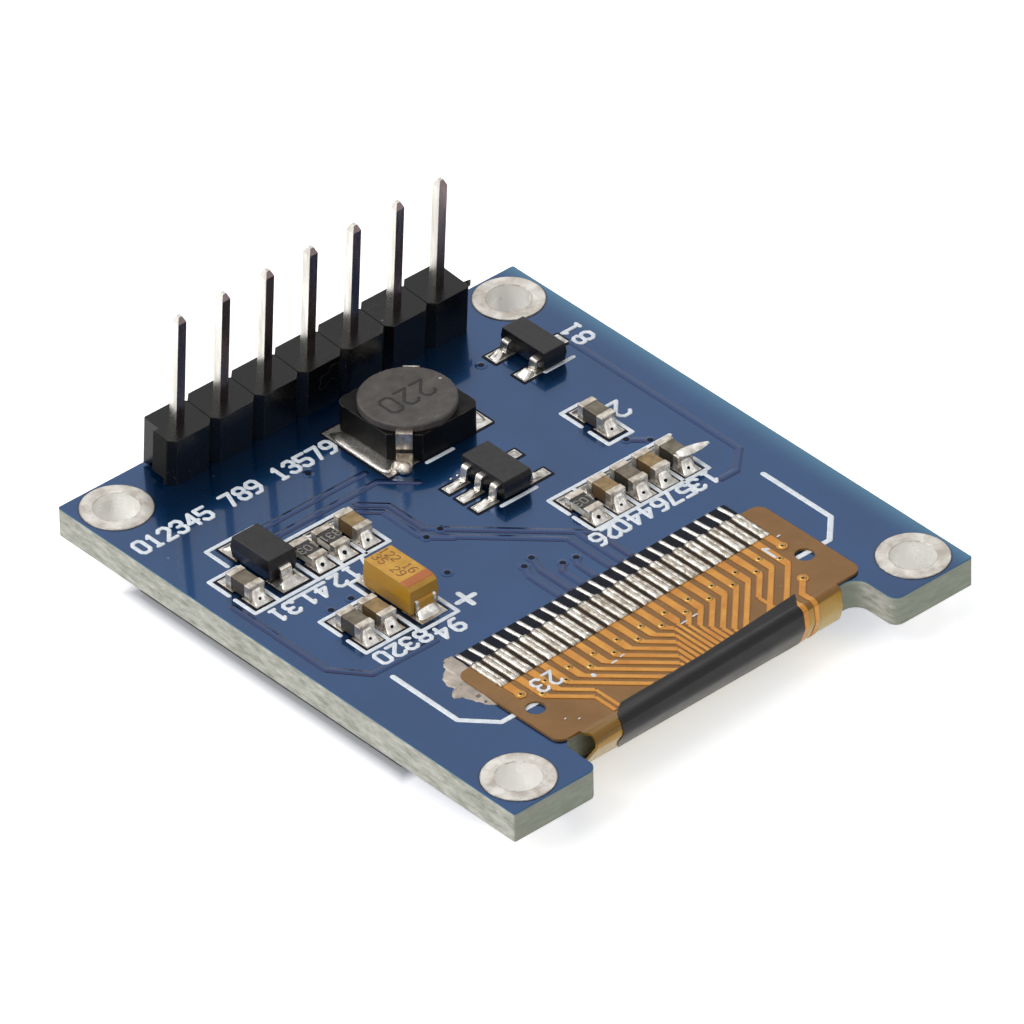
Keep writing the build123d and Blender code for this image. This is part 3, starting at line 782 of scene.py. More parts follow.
def dressTantalum():
    # yellow moulding with a brown band across the near end of its upper face, and painted shade on its upright
    # faces
    material, tree, shader = startMaterial("tantalumCase")
    case = useGroup(
        tree,
        mottle,
        {
            "Light": srgb(*tantalumLook["case"]),
            "Dark": srgb(*tantalumLook["caseDark"]),
            "Scale": 1500,
            "Spread": 0.2,
        },
    )
    near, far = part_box("tantalum_body")
    along = objectAxis(tree, "Y")
    edges = [near.y + tantalumLook[end] * mm for end in ("bandFrom", "bandTo")]
    inBand = addMath(
        tree,
        "MULTIPLY",
        addMath(tree, "GREATER_THAN", along, edges[0]),
        addMath(tree, "LESS_THAN", along, edges[1]),
    )
    onTop = addMath(tree, "GREATER_THAN", objectAxis(tree, "Z"), far.z - 0.03 * mm)
    wear = useGroup(tree, edgeWear, {"Radius": 0.00006})
    colour = mixColours(
        tree,
        addMath(tree, "MULTIPLY", inBand, onTop),
        mixColours(tree, slopeMask(tree), srgb(*tantalumLook["side"]), case.outputs["Color"]),
        srgb(*tantalumLook["band"]),
    )
    setShader(
        tree,
        shader,
        Base_Color=mixColours(
            tree,
            addMath(tree, "MULTIPLY", wear.outputs["Mask"], 0.4),
            colour,
            srgb(244, 212, 140),
        ),
        Roughness=remap(tree, case.outputs["Mask"], 0, 1, 0.42, 0.32),
        Normal=useGroup(
            tree, softEdge, {"Grain": 4200, "Depth": 0.000005, "Radius": 0.00008}
        ).outputs["Normal"],
    )
    return material


def dressDrum():
    # grey ferrite with powdery grain, a few hairline scratches and a polished rim
    material, tree, shader = startMaterial("ferriteDrum")
    grey = useGroup(
        tree,
        mottle,
        {"Light": srgb(84, 80, 77), "Dark": srgb(62, 58, 56), "Scale": 1500, "Spread": 0.2},
    )
    marks = useGroup(tree, scratches, {"Scale": 500, "Width": 0.003, "Turn": (0, 0, 0.9)})
    wear = useGroup(tree, edgeWear, {"Radius": 0.00008})
    dust = useGroup(tree, specks, {"Scale": 1100, "Size": 0.09, "Share": 0.08})
    light = addMath(
        tree,
        "MAXIMUM",
        addMath(tree, "MULTIPLY", marks.outputs["Mask"], 0.35),
        addMath(tree, "MAXIMUM", addMath(tree, "MULTIPLY", wear.outputs["Mask"], 0.3), dust.outputs["Mask"]),
    )
    setShader(
        tree,
        shader,
        Base_Color=mixColours(tree, light, grey.outputs["Color"], srgb(178, 172, 166)),
        Roughness=remap(tree, grey.outputs["Mask"], 0, 1, 0.6, 0.45),
        Normal=useGroup(
            tree, softEdge, {"Grain": 3600, "Depth": 0.000006, "Radius": 0.00006}
        ).outputs["Normal"],
    )
    return material


filmLook = {
    "head": (144, 104, 54),
    "headDark": (122, 84, 36),
    "free": (128, 93, 27),
    "freeFrom": (-12.7, -12.95),
    "bend": (184, 138, 46),
    "bendPale": (222, 200, 128),
    "rim": (84, 54, 24),
    "gloss": 0.35,
    "paleFrom": 2.9,
    "paleTo": 1.0,
}


def dressFilm():
    # amber film: brown over the blue board, yellow beyond its edge, and paler down the bend as painted light
    # shining through
    material, tree, shader = startMaterial("amberFilm")
    head = useGroup(
        tree,
        mottle,
        {
            "Light": srgb(*filmLook["head"]),
            "Dark": srgb(*filmLook["headDark"]),
            "Scale": 420,
            "Spread": 0.25,
        },
    )
    height = objectAxis(tree, "Z")
    hanging = remap(tree, height, boardTop * mm, filmLook["paleFrom"] * mm)
    # painted light: the bend turns paler lower down
    pale = remap(tree, height, filmLook["paleFrom"] * mm, filmLook["paleTo"] * mm)
    lower = mixColours(tree, pale, srgb(*filmLook["bend"]), srgb(*filmLook["bendPale"]))
    clear = remap(tree, objectAxis(tree, "Y"), *(place * mm for place in filmLook["freeFrom"]))
    upper = mixColours(tree, clear, head.outputs["Color"], srgb(*filmLook["free"]))
    colour = mixColours(tree, hanging, upper, lower)
    fine = useGroup(tree, scratches, {"Scale": 260, "Width": 0.002, "Turn": (0, 0, 1.4)})
    rim = useGroup(tree, edgeWear, {"Radius": 0.00006, "Scale": 900, "Level": 0.93})
    setShader(
        tree,
        shader,
        Base_Color=mixColours(
            tree,
            addMath(tree, "MULTIPLY", fine.outputs["Mask"], 0.25),
            mixColours(tree, rim.outputs["Mask"], colour, srgb(*filmLook["rim"])),
            srgb(236, 214, 170),
        ),
        Roughness=remap(tree, head.outputs["Mask"], 0, 1, 0.3, 0.2),
        Normal=useGroup(
            tree,
            softEdge,
            {"Grain": 700, "Depth": 0.000008, "Strength": 0.3, "Radius": 0.00003},
        ).outputs["Normal"],
        Specular_IOR_Level=filmLook["gloss"],
    )
    return material


def dressCopper():
    # copper seen through the amber cover film, darker where the film steps down at its sides
    material, tree, shader = startMaterial("amberCopper")
    shade = useGroup(
        tree,
        mottle,
        {
            "Light": srgb(228, 162, 62),
            "Dark": srgb(198, 126, 38),
            "Scale": 900,
            "Spread": 0.2,
        },
    )
    wear = useGroup(tree, edgeWear, {"Radius": 0.00007, "Scale": 900, "Level": 0.955})
    setShader(
        tree,
        shader,
        Base_Color=mixColours(
            tree,
            wear.outputs["Mask"],
            shade.outputs["Color"],
            srgb(104, 54, 12),
        ),
        Roughness=remap(tree, shade.outputs["Mask"], 0, 1, 0.36, 0.24),
        Metallic=0.3,
        Coat_Weight=0.15,
        Coat_Roughness=0.12,
        Normal=useGroup(
            tree,
            softEdge,
            {"Grain": 900, "Depth": 0.000006, "Strength": 0.4, "Radius": 0.00004},
        ).outputs["Normal"],
    )
    return material


# pale is the colour of a painted reflection, growing from the first height down to the second
tapeLook = {"pale": (156, 154, 147), "paleFrom": 2.5, "paleTo": 1.2, "share": 0.8}


def dressTape():
    # satin black tape, faintly creased and dusty, with a painted pale reflection low on the bend
    material, tree, shader = startMaterial("blackTape")
    shade = useGroup(
        tree,
        mottle,
        {"Light": srgb(28, 27, 28), "Dark": srgb(18, 17, 18), "Scale": 900, "Spread": 0.25},
    )
    marks = useGroup(tree, scratches, {"Scale": 220, "Width": 0.004, "Turn": (0, 0, 0.2)})
    dust = useGroup(tree, specks, {"Scale": 1500, "Size": 0.07, "Share": 0.05})
    light = addMath(
        tree,
        "MAXIMUM",
        addMath(tree, "MULTIPLY", marks.outputs["Mask"], 0.2),
        addMath(tree, "MULTIPLY", dust.outputs["Mask"], 0.6),
    )
    paintedReflection = addMath(
        tree,
        "MULTIPLY",
        remap(tree, objectAxis(tree, "Z"), tapeLook["paleFrom"] * mm, tapeLook["paleTo"] * mm),
        remap(tree, shade.outputs["Mask"], 0, 1, 0.6, 1.0),
    )
    colour = mixColours(
        tree,
        addMath(tree, "MULTIPLY", paintedReflection, tapeLook["share"]),
        shade.outputs["Color"],
        srgb(*tapeLook["pale"]),
    )
    setShader(
        tree,
        shader,
        Base_Color=mixColours(tree, light, colour, srgb(140, 138, 136)),
        Roughness=remap(tree, shade.outputs["Mask"], 0, 1, 0.52, 0.42),
        Specular_IOR_Level=0.36,
        Normal=useGroup(
            tree,
            softEdge,
            {"Grain": 500, "Depth": 0.00002, "Strength": 0.35, "Radius": 0.00003},
        ).outputs["Normal"],
    )
    return material


looks["header_plastic"] = dressHeader()
looks["resistor_ceramic"] = dressResistor()
looks["tantalum_case"] = dressTantalum()
looks["ferrite_drum"] = dressDrum()
looks["ribbon_film"] = dressFilm()
looks["ribbon_copper"] = dressCopper()
looks["tape"] = dressTape()

forkLook = {"halfWide": 0.42, "above": 3.3}
clipLook = {"gapFrom": 3.54, "gapTo": 3.76, "dark": (16, 14, 13)}


def dressFork():
    # the lead shows as two tabs at its sides, and the case's own colour lies between them
    material, tree, shader = startMaterial("forkedLead")
    near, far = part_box("tantalum_leads")
    off = addMath(
        tree, "ABSOLUTE", addMath(tree, "SUBTRACT", objectAxis(tree, "X"), (near.x + far.x) / 2)
    )
    between = addMath(
        tree,
        "MULTIPLY",
        addMath(tree, "LESS_THAN", off, forkLook["halfWide"] * mm),
        addMath(tree, "GREATER_THAN", objectAxis(tree, "Z"), forkLook["above"] * mm),
    )
    tin = useGroup(
        tree,
        mottle,
        {"Light": srgb(230, 226, 218), "Dark": srgb(150, 142, 130), "Scale": 2600},
    )
    setShader(
        tree,
        shader,
        Base_Color=mixColours(tree, between, tin.outputs["Color"], srgb(*tantalumLook["caseDark"])),
        Metallic=remap(tree, between, 0, 1, 0.95, 0.0),
        Roughness=remap(tree, between, 0, 1, 0.25, 0.42),
        Normal=useGroup(tree, softEdge, {"Radius": 0.00004}).outputs["Normal"],
    )
    return material


def dressClip():
    # tinned strap with a dark band between its cap and the solder below
    material, tree, shader = startMaterial("clipTin")
    tin = useGroup(
        tree,
        mottle,
        {"Light": srgb(232, 224, 212), "Dark": srgb(128, 116, 102), "Scale": 2200},
    )
    height = objectAxis(tree, "Z")
    gap = addMath(
        tree,
        "MULTIPLY",
        addMath(tree, "GREATER_THAN", height, clipLook["gapFrom"] * mm),
        addMath(tree, "LESS_THAN", height, clipLook["gapTo"] * mm),
    )
    setShader(
        tree,
        shader,
        Base_Color=mixColours(tree, gap, tin.outputs["Color"], srgb(*clipLook["dark"])),
        Metallic=remap(tree, gap, 0, 1, 0.9, 0.0),
        Roughness=remap(tree, tin.outputs["Mask"], 0, 1, 0.42, 0.22),
        Normal=useGroup(
            tree, softEdge, {"Grain": 2600, "Depth": 0.00001, "Radius": 0.00006}
        ).outputs["Normal"],
    )
    return material


looks["clip_tin"] = dressClip()

# each CAD node takes the finish of its slot in the record
slotOf = {}
for nodeName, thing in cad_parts.items():
    slotName = next((s.material.name for s in thing.material_slots if s.material), "")
    slotOf[nodeName] = slotName.split(".")[0]
    for slot in thing.material_slots:
        slot.material = looks.get(slotOf[nodeName], looks["package_plastic"])
# some of the capacitors are of a darker, greyer ceramic than their neighbours, with darker painted shade on
# their upright faces
greyChips = {"nodes": (1, 3, 6, 8, 9), "light": (124, 114, 96), "dark": (94, 86, 70), "side": (58, 52, 42)}
greyTones = {tone: greyChips[tone] for tone in ("light", "dark", "side")}
greyCeramic = dressPlain("greyCeramic", {**plainLooks["capacitor_ceramic"], **greyTones})
for number in greyChips["nodes"]:
    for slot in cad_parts[f"capacitor_{number}_body"].material_slots:
        slot.material = greyCeramic
forkMaterial = dressFork()
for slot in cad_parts["tantalum_leads"].material_slots:
    slot.material = forkMaterial
unmatched = sorted(n for n, s in slotOf.items() if s not in looks)
print("materials on", len(slotOf), "nodes, without a look:", unmatched)


def makePiece(name, points, material, hides=(), smooth=True):
    # closed forms from stacked rings: points is copies x rings x columns x 3, in millimetres,
    # each copy running from one pole to the other with its columns closing round
    copies, rings, columns, _ = points.shape
    ring = np.arange(rings - 1)[:, None] * columns
    column = np.arange(columns)[None, :]
    after = (column + 1) % columns
    corners = (ring + column, ring + after, ring + columns + after, ring + columns + column)
    quads = np.stack(corners, axis=-1).reshape(-1, 4)
    starts = np.arange(copies)[:, None, None] * rings * columns
    mesh = bpy.data.meshes.new(name)
    mesh.from_pydata(
        (points.reshape(-1, 3) * mm).tolist(), [], (quads + starts).reshape(-1, 4).tolist()
    )
    work = bmesh.new()
    work.from_mesh(mesh)
    bmesh.ops.remove_doubles(work, verts=work.verts, dist=1e-8)
    bmesh.ops.dissolve_degenerate(work, edges=work.edges, dist=1e-9)
    bmesh.ops.recalc_face_normals(work, faces=work.faces)
    for face in work.faces:
        face.smooth = smooth
    work.to_mesh(mesh)
    work.free()
    mesh.materials.append(material)
    piece = bpy.data.objects.new(name, mesh)
    scene.collection.objects.link(piece)
    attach(piece, "root")
    if hides:
        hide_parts(*hides)
    return piece


def strokePoints(lines, width, base, height, slope=0.15, capSteps=6):
    # each straight run of each line is a capsule: half circles round its two ends, raised from
    # base by height, with the upper rim drawn in by slope of the width; where runs cross, their
    # tops differ by a hair so that no two faces share a plane
    runs = np.array([(a, b) for line in lines for a, b in zip(line, line[1:])], dtype=float)
    way = runs[:, 1] - runs[:, 0]
    turn = np.arctan2(way[:, 1], way[:, 0])[:, None]
    fan = np.linspace(np.pi / 2, 1.5 * np.pi, capSteps)[None, :]
    angles = np.concatenate([turn + fan, turn + fan + np.pi], axis=1)
    spine = np.repeat(runs, capSteps, axis=1)
    out = np.stack([np.cos(angles), np.sin(angles)], axis=-1) * width / 2
    rows = ((0, height), (1 - 2 * slope, height), (1, height * 0.4), (1, 0), (0, 0))
    rings = []
    step = 1 + 0.05 * (np.arange(len(runs)) % 5)
    for reach, rise in rows:
        flat = spine + out * reach
        level = np.broadcast_to((base + rise * step)[:, None, None], flat.shape[:2] + (1,))
        rings.append(np.concatenate([flat, level], axis=-1))
    return np.stack(rings, axis=1)


def domePoints(places, half, square=0.5, around=28, rings=8):
    # rounded-rectangle discs: t runs from middle to rim, and the cosine and sine are raised
    # to a power that squares the corners; returns flat places, t, and local -1..1 coordinates
    angle = np.arange(around) * 2 * np.pi / around
    unit = np.stack([np.cos(angle), np.sin(angle)], axis=-1)
    unit = np.sign(unit) * np.abs(unit) ** square
    t = np.sin(np.linspace(0, np.pi / 2, rings))
    local = t[:, None, None] * unit[None]
    places = np.asarray(places, dtype=float)[:, None, None, :]
    half = np.broadcast_to(np.asarray(half, dtype=float), (places.shape[0], 2))[:, None, None, :]
    return places + local[None] * half, t[None, :, None], local


def closeDome(flat, heights, base):
    # adds heights to flat rings and closes them below at base
    heights = np.broadcast_to(heights, flat.shape[:3])
    top = np.concatenate([flat, base + heights[..., None]], axis=-1)
    middle = flat[:, :1]
    foot = np.concatenate([flat[:, -1:], np.full(flat[:, -1:].shape[:3] + (1,), base)], axis=-1)
    pole = np.concatenate([middle, np.full(middle.shape[:3] + (1,), base)], axis=-1)
    return np.concatenate([top, foot, pole], axis=1)


# digits on a grid 4 wide and 6 high, drawn with straight strokes as a plotter would
digitStrokes = {
    "0": [[(0, 1), (0, 5), (1, 6), (3, 6), (4, 5), (4, 1), (3, 0), (1, 0), (0, 1)]],
    "1": [[(1, 5), (2, 6), (2, 0)], [(1, 0), (3, 0)]],
    "2": [[(0, 5), (1, 6), (3, 6), (4, 5), (4, 3.8), (0, 0), (4, 0)]],
    "3": [
        [(0, 5), (1, 6), (3, 6), (4, 5), (4, 4), (3, 3.2), (1.6, 3.2)],
        [(3, 3.2), (4, 2.3), (4, 1), (3, 0), (1, 0), (0, 1)],
    ],
    "4": [[(3, 0), (3, 6), (0, 2), (4, 2)]],
    "5": [[(4, 6), (0, 6), (0, 3.4), (3, 3.4), (4, 2.6), (4, 1), (3, 0), (1, 0), (0, 1)]],
    "6": [[(3.6, 6), (1.6, 6), (0, 4), (0, 1), (1, 0), (3, 0), (4, 1), (4, 2.6), (3, 3.4), (0, 3.4)]],
    "7": [[(0, 6), (4, 6), (1.4, 0)]],
    "8": [
        [(1, 3.2), (0, 4), (0, 5), (1, 6), (3, 6), (4, 5), (4, 4), (3, 3.2), (1, 3.2)],
        [(1, 3.2), (0, 2.2), (0, 1), (1, 0), (3, 0), (4, 1), (4, 2.2), (3, 3.2)],
    ],
    "9": [[(0.4, 0), (2.4, 0), (4, 2), (4, 5), (3, 6), (1, 6), (0, 5), (0, 3.6), (1, 2.8), (4, 2.8)]],
    "+": [[(2, 1), (2, 5)], [(0, 3), (4, 3)]],
}


def numberLines(text, centre, size, turn=0.0, wide=0.9, pitch=5.6):
    # strokes of a row of digits, centred at a place and turned by an angle in degrees; each digit
    # is narrowed by wide, and pitch is the step to the next one in sixths of the size
    unit = size / 6
    angle = np.radians(turn)
    right = np.array([np.cos(angle), np.sin(angle)])
    up = np.array([-np.sin(angle), np.cos(angle)])
    start = -((len(text) - 1) * pitch + 4 * wide) / 2
    lines = []
    for index, sign in enumerate(text):
        for stroke in digitStrokes.get(sign, []):
            at = np.array(stroke, dtype=float) * (wide, 1) + (start + index * pitch, -3)
            lines.append((np.array(centre) + unit * (at[:, :1] * right + at[:, 1:] * up)).tolist())
    return lines


printLook = {
    "ink": (240, 245, 250),
    "inkDark": (214, 222, 232),
    "line": 0.21,
    "heavyLine": 0.27,
    "numberLine": 0.2,
    "height": 0.03,
    "numbers": [
        ("012345 789 13579", (-7.2, 10.25), 0.9, 0, 0.83, 4.83),
        ("81", (12.0, 9.15), 0.95, 90),
        ("31", (-11.1, 2.45), 0.85, 180),
        ("41", (-9.35, 2.45), 0.85, 180),
        ("12", (-7.55, 2.55), 0.85, 180),
        ("7", (-6.2, 2.65), 0.8, 180),
        ("20", (-9.8, -2.95), 0.85, 180),
        ("83", (-8.3, -2.95), 0.85, 180),
        ("94", (-6.7, -3.35), 0.85, 180),
        ("26", (2.75, -2.95), 0.85, 180),
        ("40", (4.15, -2.9), 0.85, 180),
        ("64", (5.65, -2.9), 0.85, 180),
        ("57", (7.15, -2.9), 0.85, 180),
        ("13", (8.6, -2.9), 0.85, 180),
        ("2", (9.5, 3.6), 1.1, 180),
    ],
}
thinLines = [
    [(-12.15, 4.95), (-12.15, 6.3), (-10.5, 6.3)],
    [(-7.9, 6.3), (-4.3, 6.3)],
    [(-12.15, 4.55), (-12.15, 3.2), (-4.45, 3.2)],
    [(-4.4, 3.2), (-4.4, 4.6)],
    [(-10.75, 3.2), (-10.75, 4.3)],
    [(-8.5, 3.2), (-8.5, 4.7)],
    [(-7.05, 3.2), (-7.05, 4.2)],
    [(-5.75, 3.2), (-5.75, 4.2)],
    [(-10.5, 2.9), (-8.5, 2.9)],
    [(-10.8, 6.6), (-10.8, 8.05), (-8.0, 8.05)],
    [(-10.5, -0.5), (-10.5, 0.85), (-8.0, 0.85)],
    [(-10.5, -1.0), (-10.5, -2.2), (-7.8, -2.2)],
    [(-9.15, -1.2), (-9.15, -2.2)],
    [(-7.75, 0.9), (-7.75, 2.05), (-6.6, 2.05)],
    [(-7.75, -1.1), (-7.75, -2.65), (-5.6, -2.65), (-5.6, -1.2)],
    [(2.65, -0.7), (2.65, 0.65), (9.85, 0.65)],
    [(2.65, -1.0), (2.65, -2.35), (9.45, -2.35), (9.45, -1.3)],
    [(4.0, -1.2), (4.0, -2.3)],
    [(5.35, -1.2), (5.35, -2.3)],
    [(6.7, -1.2), (6.7, -2.3)],
    [(8.0, -1.2), (8.0, -2.3)],
    [(4.05, 0.2), (4.05, 0.6)],
    [(7.4, 3.75), (7.4, 5.1), (8.5, 5.1)],
    [(7.4, 3.2), (7.4, 1.95), (8.8, 1.95), (8.8, 3.2)],
    [(0.65, 6.42), (2.15, 6.42)],
    [(0.9, 1.77), (2.93, 1.77)],
    [(9.0, 7.93), (10.7, 7.93)],
]
heavyLines = [
    [(-10.78, -4.25), (-10.78, -8.45), (-9.5, -9.83), (-7.3, -9.83)],
    [(10.9, -4.3), (10.9, -8.65), (9.7, -9.85), (7.7, -9.85)],
    [(-5.24, -2.2), (-4.26, -2.2)],
    [(-4.75, -2.69), (-4.75, -1.71)],
]

inkMaterial = dressPlain(
    "printInk",
    {
        "light": printLook["ink"],
        "dark": printLook["inkDark"],
        "scale": 3000,
        "rough": (0.4, 0.55),
        "grain": 3600,
        "depth": 0.000006,
        "radius": 0.00001,
    },
)
digits = [line for row in printLook["numbers"] for line in numberLines(*row)]
makePiece(
    "board_print",
    np.concatenate(
        [
            strokePoints(thinLines, printLook["line"], boardTop, printLook["height"]),
            strokePoints(heavyLines, printLook["heavyLine"], boardTop, printLook["height"] - 0.004),
            strokePoints(digits, printLook["numberLine"], boardTop, printLook["height"] + 0.01),
        ]
    ),
    inkMaterial,
    smooth=False,
)

traceLook = {
    "top": (8, 62, 118),
    "side": (36, 34, 76),
    "width": 0.38,
    "slope": 0.36,
    "height": 0.03,
    "viaRadius": 0.3,
    "holeRadius": 0.165,
}
traceLines = [
    [(11.4, 8.8), (11.4, -2.2), (10.2, -3.3), (9.3, -3.3)],
    [(-12.55, 4.2), (-12.55, -1.9), (-11.3, -3.5), (-7.7, -3.55)],
    [(-7.9, 7.7), (-1.9, 7.7)],
    [(-7.9, 6.85), (-1.9, 6.85), (-0.6, 5.6)],
    [(-4.2, 6.0), (-3.2, 5.0), (-3.2, 2.6), (1.4, -2.0), (1.4, -4.7)],
    [(-3.7, 6.2), (-2.7, 5.2), (-2.7, 2.9), (2.0, -1.8), (2.0, -4.7)],
    [(-3.05, 2.3), (-2.2, 1.45)],
    [(-2.2, 2.35), (2.6, -2.45), (2.6, -4.7)],
    [(-1.35, -2.2), (-1.65, -2.9), (-1.65, -4.75)],
    [(-0.7, -1.95), (-1.0, -2.9), (-1.0, -4.75)],
    [(0.05, -3.15), (-0.35, -3.6), (-0.35, -4.75)],
    [(0.75, -3.25), (0.45, -3.7), (0.45, -4.75)],
    [(8.2, 1.7), (8.95, 0.95)],
]
vias = [
    (-9.6, 1.15),
    (-8.4, 1.2),
    (-4.1, -0.25),
    (7.25, 10.25),
    (8.2, 1.7),
    (8.95, 0.95),
    (-3.05, 2.3),
    (-2.2, 2.35),
    (-1.35, -2.2),
    (-0.7, -1.95),
    (0.05, -3.15),
    (0.75, -3.25),
    (-3.75, 9.35),
]


def dressRelief():
    # mask over a raised copper track: lighter on top, brownish where the ink thins at the sides
    material, tree, shader = startMaterial("maskOverCopper")
    shade = useGroup(
        tree,
        mottle,
        {
            "Light": srgb(*traceLook["top"]),
            "Dark": srgb(*boardLook["mask"]),
            "Scale": 500,
            "Spread": 0.25,
        },
    )
    setShader(
        tree,
        shader,
        Base_Color=mixColours(
            tree, slopeMask(tree, 0.986, 0.996), srgb(*traceLook["side"]), shade.outputs["Color"]
        ),
        Roughness=remap(tree, shade.outputs["Mask"], 0, 1, 0.3, 0.24),
        Metallic=boardLook["sheen"],
        Coat_Weight=boardLook["coat"],
        Coat_Roughness=boardLook["coatRough"],
        Normal=useGroup(tree, softEdge, {"Grain": 900, "Strength": 0.2}).outputs["Normal"],
    )
    return material


reliefMaterial = dressRelief()
viaSpots = [[(x, y), (x + 0.001, y)] for x, y in vias]
makePiece(
    "board_tracks",
    np.concatenate(
        [
            strokePoints(
                traceLines,
                traceLook["width"],
                boardTop,
                traceLook["height"],
                traceLook["slope"],
            ),
            strokePoints(
                viaSpots,
                2 * traceLook["viaRadius"],
                boardTop,
                traceLook["height"],
                traceLook["slope"],
            ),
        ]
    ),
    reliefMaterial,
    smooth=False,
)
# dark bare laminate; round the pads and under the landings it is also painted shade
darkMaterial = dressPlain(
    "openLaminateAndShade",
    {
        "light": (14, 20, 38),
        "dark": (6, 8, 16),
        "scale": 1600,
        "shine": 0.12,
        "rough": (0.3, 0.45),
        "grain": 2400,
        "depth": 0.000006,
        "radius": 0.00001,
    },
)
makePiece(
    "via_centres",
    strokePoints(viaSpots, 2 * traceLook["holeRadius"], boardTop, traceLook["height"] + 0.01, 0.1),
    darkMaterial,
    smooth=False,
)
print("print, tracks and vias laid")

chips = [f"capacitor_{n}" for n in range(1, 10)] + [f"resistor_{n}" for n in range(1, 4)]
solderLook = {
    "reach": 0.52,
    "overlap": 0.12,
    "narrow": 0.8,
    "rise": 0.72,
    "padHalf": 0.46,
    "crown": 0.06,
    "ridge": 0.02,
}


def solderFans(spots, way, rise, reach, overlap, halfWide, narrow, base, crown, ridge):
    # a mound from a part's end face to the end of its pad: it widens as it goes out, and its
    # height falls as the square of the way left, with fine ridges that fan out across it
    spots = np.asarray(spots, dtype=float)
    rise, reach, overlap, halfWide = (
        np.broadcast_to(np.asarray(value, dtype=float), len(spots))[:, None, None]
        for value in (rise, reach, overlap, halfWide)
    )
    flat, t, local = domePoints(np.zeros((len(spots), 2)), (1, 1), square=0.55, rings=9)
    out = (flat[..., 0] + 1) / 2
    across = flat[..., 1]
    way = np.asarray(way, dtype=float)
    widen = narrow + (1 - narrow) * out**1.2
    run = out * (reach + overlap) - overlap
    side = across * halfWide * widen
    phase = random.uniform(0, 6.28, (len(spots), 1, 1))
    height = rise * (1 - np.clip(run / reach, 0, 1)) ** 1.9 * (1 - np.abs(across) ** 4 * 0.35)
    height = height + crown * (1 - t**4)
    height = height + ridge * np.sin(across * 9 + phase) * out * (1 - t**3)
    height = height * (1 - t**12)
    away = np.stack([way[:, 0], way[:, 1]], axis=-1)[:, None, None, :]
    left = np.stack([-way[:, 1], way[:, 0]], axis=-1)[:, None, None, :]
    placed = spots[:, None, None, :] + run[..., None] * away + side[..., None] * left
    return closeDome(placed, height, base)


spots, ways, rises = [], [], []
for chip in chips:
    near, far = (np.array(corner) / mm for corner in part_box(chip + "_ends"))
    for sign, edge in ((-1, near[1]), (1, far[1])):
        spots.append(((near[0] + far[0]) / 2, edge))
        ways.append((0, sign))
        rises.append((far[2] - padTop) * solderLook["rise"] * random.uniform(0.85, 1.1))
makePiece(
    "chip_solder",
    solderFans(
        spots,
        ways,
        rises,
        solderLook["reach"],
        solderLook["overlap"],
        solderLook["padHalf"],
        solderLook["narrow"],
        padTop,
        solderLook["crown"],
        solderLook["ridge"],
    ),
    looks["solder"],
    hides=["solder_joints"],
)

# leads and large pads: place of the edge that the solder starts from, way out, reach, half width,
# how far it climbs the lead
leadSolder = [
    ((0.49, 2.34), (-1, 0), 0.64, 0.25, 0.14),
    ((0.49, 3.29), (-1, 0), 0.64, 0.25, 0.14),
    ((0.49, 4.24), (-1, 0), 0.64, 0.25, 0.14),
    ((3.39, 2.34), (1, 0), 0.64, 0.25, 0.14),
    ((3.39, 4.24), (1, 0), 0.64, 0.25, 0.14),
    ((8.27, 8.35), (-1, 0), 0.42, 0.35, 0.18),
    ((8.27, 10.25), (-1, 0), 0.42, 0.35, 0.18),
    ((10.85, 9.3), (1, 0), 0.42, 0.35, 0.18),
    ((-9.55, 3.87), (0, -1), 0.36, 0.7, 0.18),
    ((-9.55, 7.43), (0, 1), 0.36, 0.7, 0.18),
    ((-6.65, -1.79), (0, -1), 0.38, 0.7, 0.3),
    ((-6.65, 1.59), (0, 1), 0.38, 0.7, 0.3),
    ((-0.6, 8.95), (-1, 0), 0.74, 2.24, 0.05),
    ((4.02, 8.95), (1, 0), 0.74, 2.24, 0.05),
]
edges, ways, reaches, halves, rises = zip(*leadSolder)
makePiece(
    "lead_solder",
    solderFans(edges, ways, rises, reaches, 0.32, halves, 0.72, padTop, 0.05, 0.02),
    looks["solder"],
)

# blobs at the feet of the inductor's clips, and a small dark pit in the near fan of each chip
blobLook = {"places": [(-0.5, 6.62), (-0.62, 6.9), (3.92, 11.14)], "radius": 0.34, "height": 0.42}
flat, t, _ = domePoints(blobLook["places"], (blobLook["radius"],) * 2, 1.0, 24, 8)
makePiece(
    "clip_solder",
    closeDome(flat, blobLook["height"] * np.sqrt(np.clip(1 - t**2.4, 0, 1)), padTop),
    looks["end_tin"],
)
pitLook = {"off": 0.08, "out": 0.22, "height": 0.24, "radius": 0.11}
pits = []
for chip in chips:
    near, far = (np.array(corner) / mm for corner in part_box(chip + "_ends"))
    pits.append(((near[0] + far[0]) / 2 - pitLook["off"], near[1] - pitLook["out"]))
flat, t, _ = domePoints(pits, (pitLook["radius"],) * 2, 1.0, 12, 5)
makePiece(
    "solder_pits",
    closeDome(flat, pitLook["height"] + 0.06 * np.sqrt(np.clip(1 - t**2, 0, 1)) - 0.06, padTop),
    darkMaterial,
)
print("solder laid")
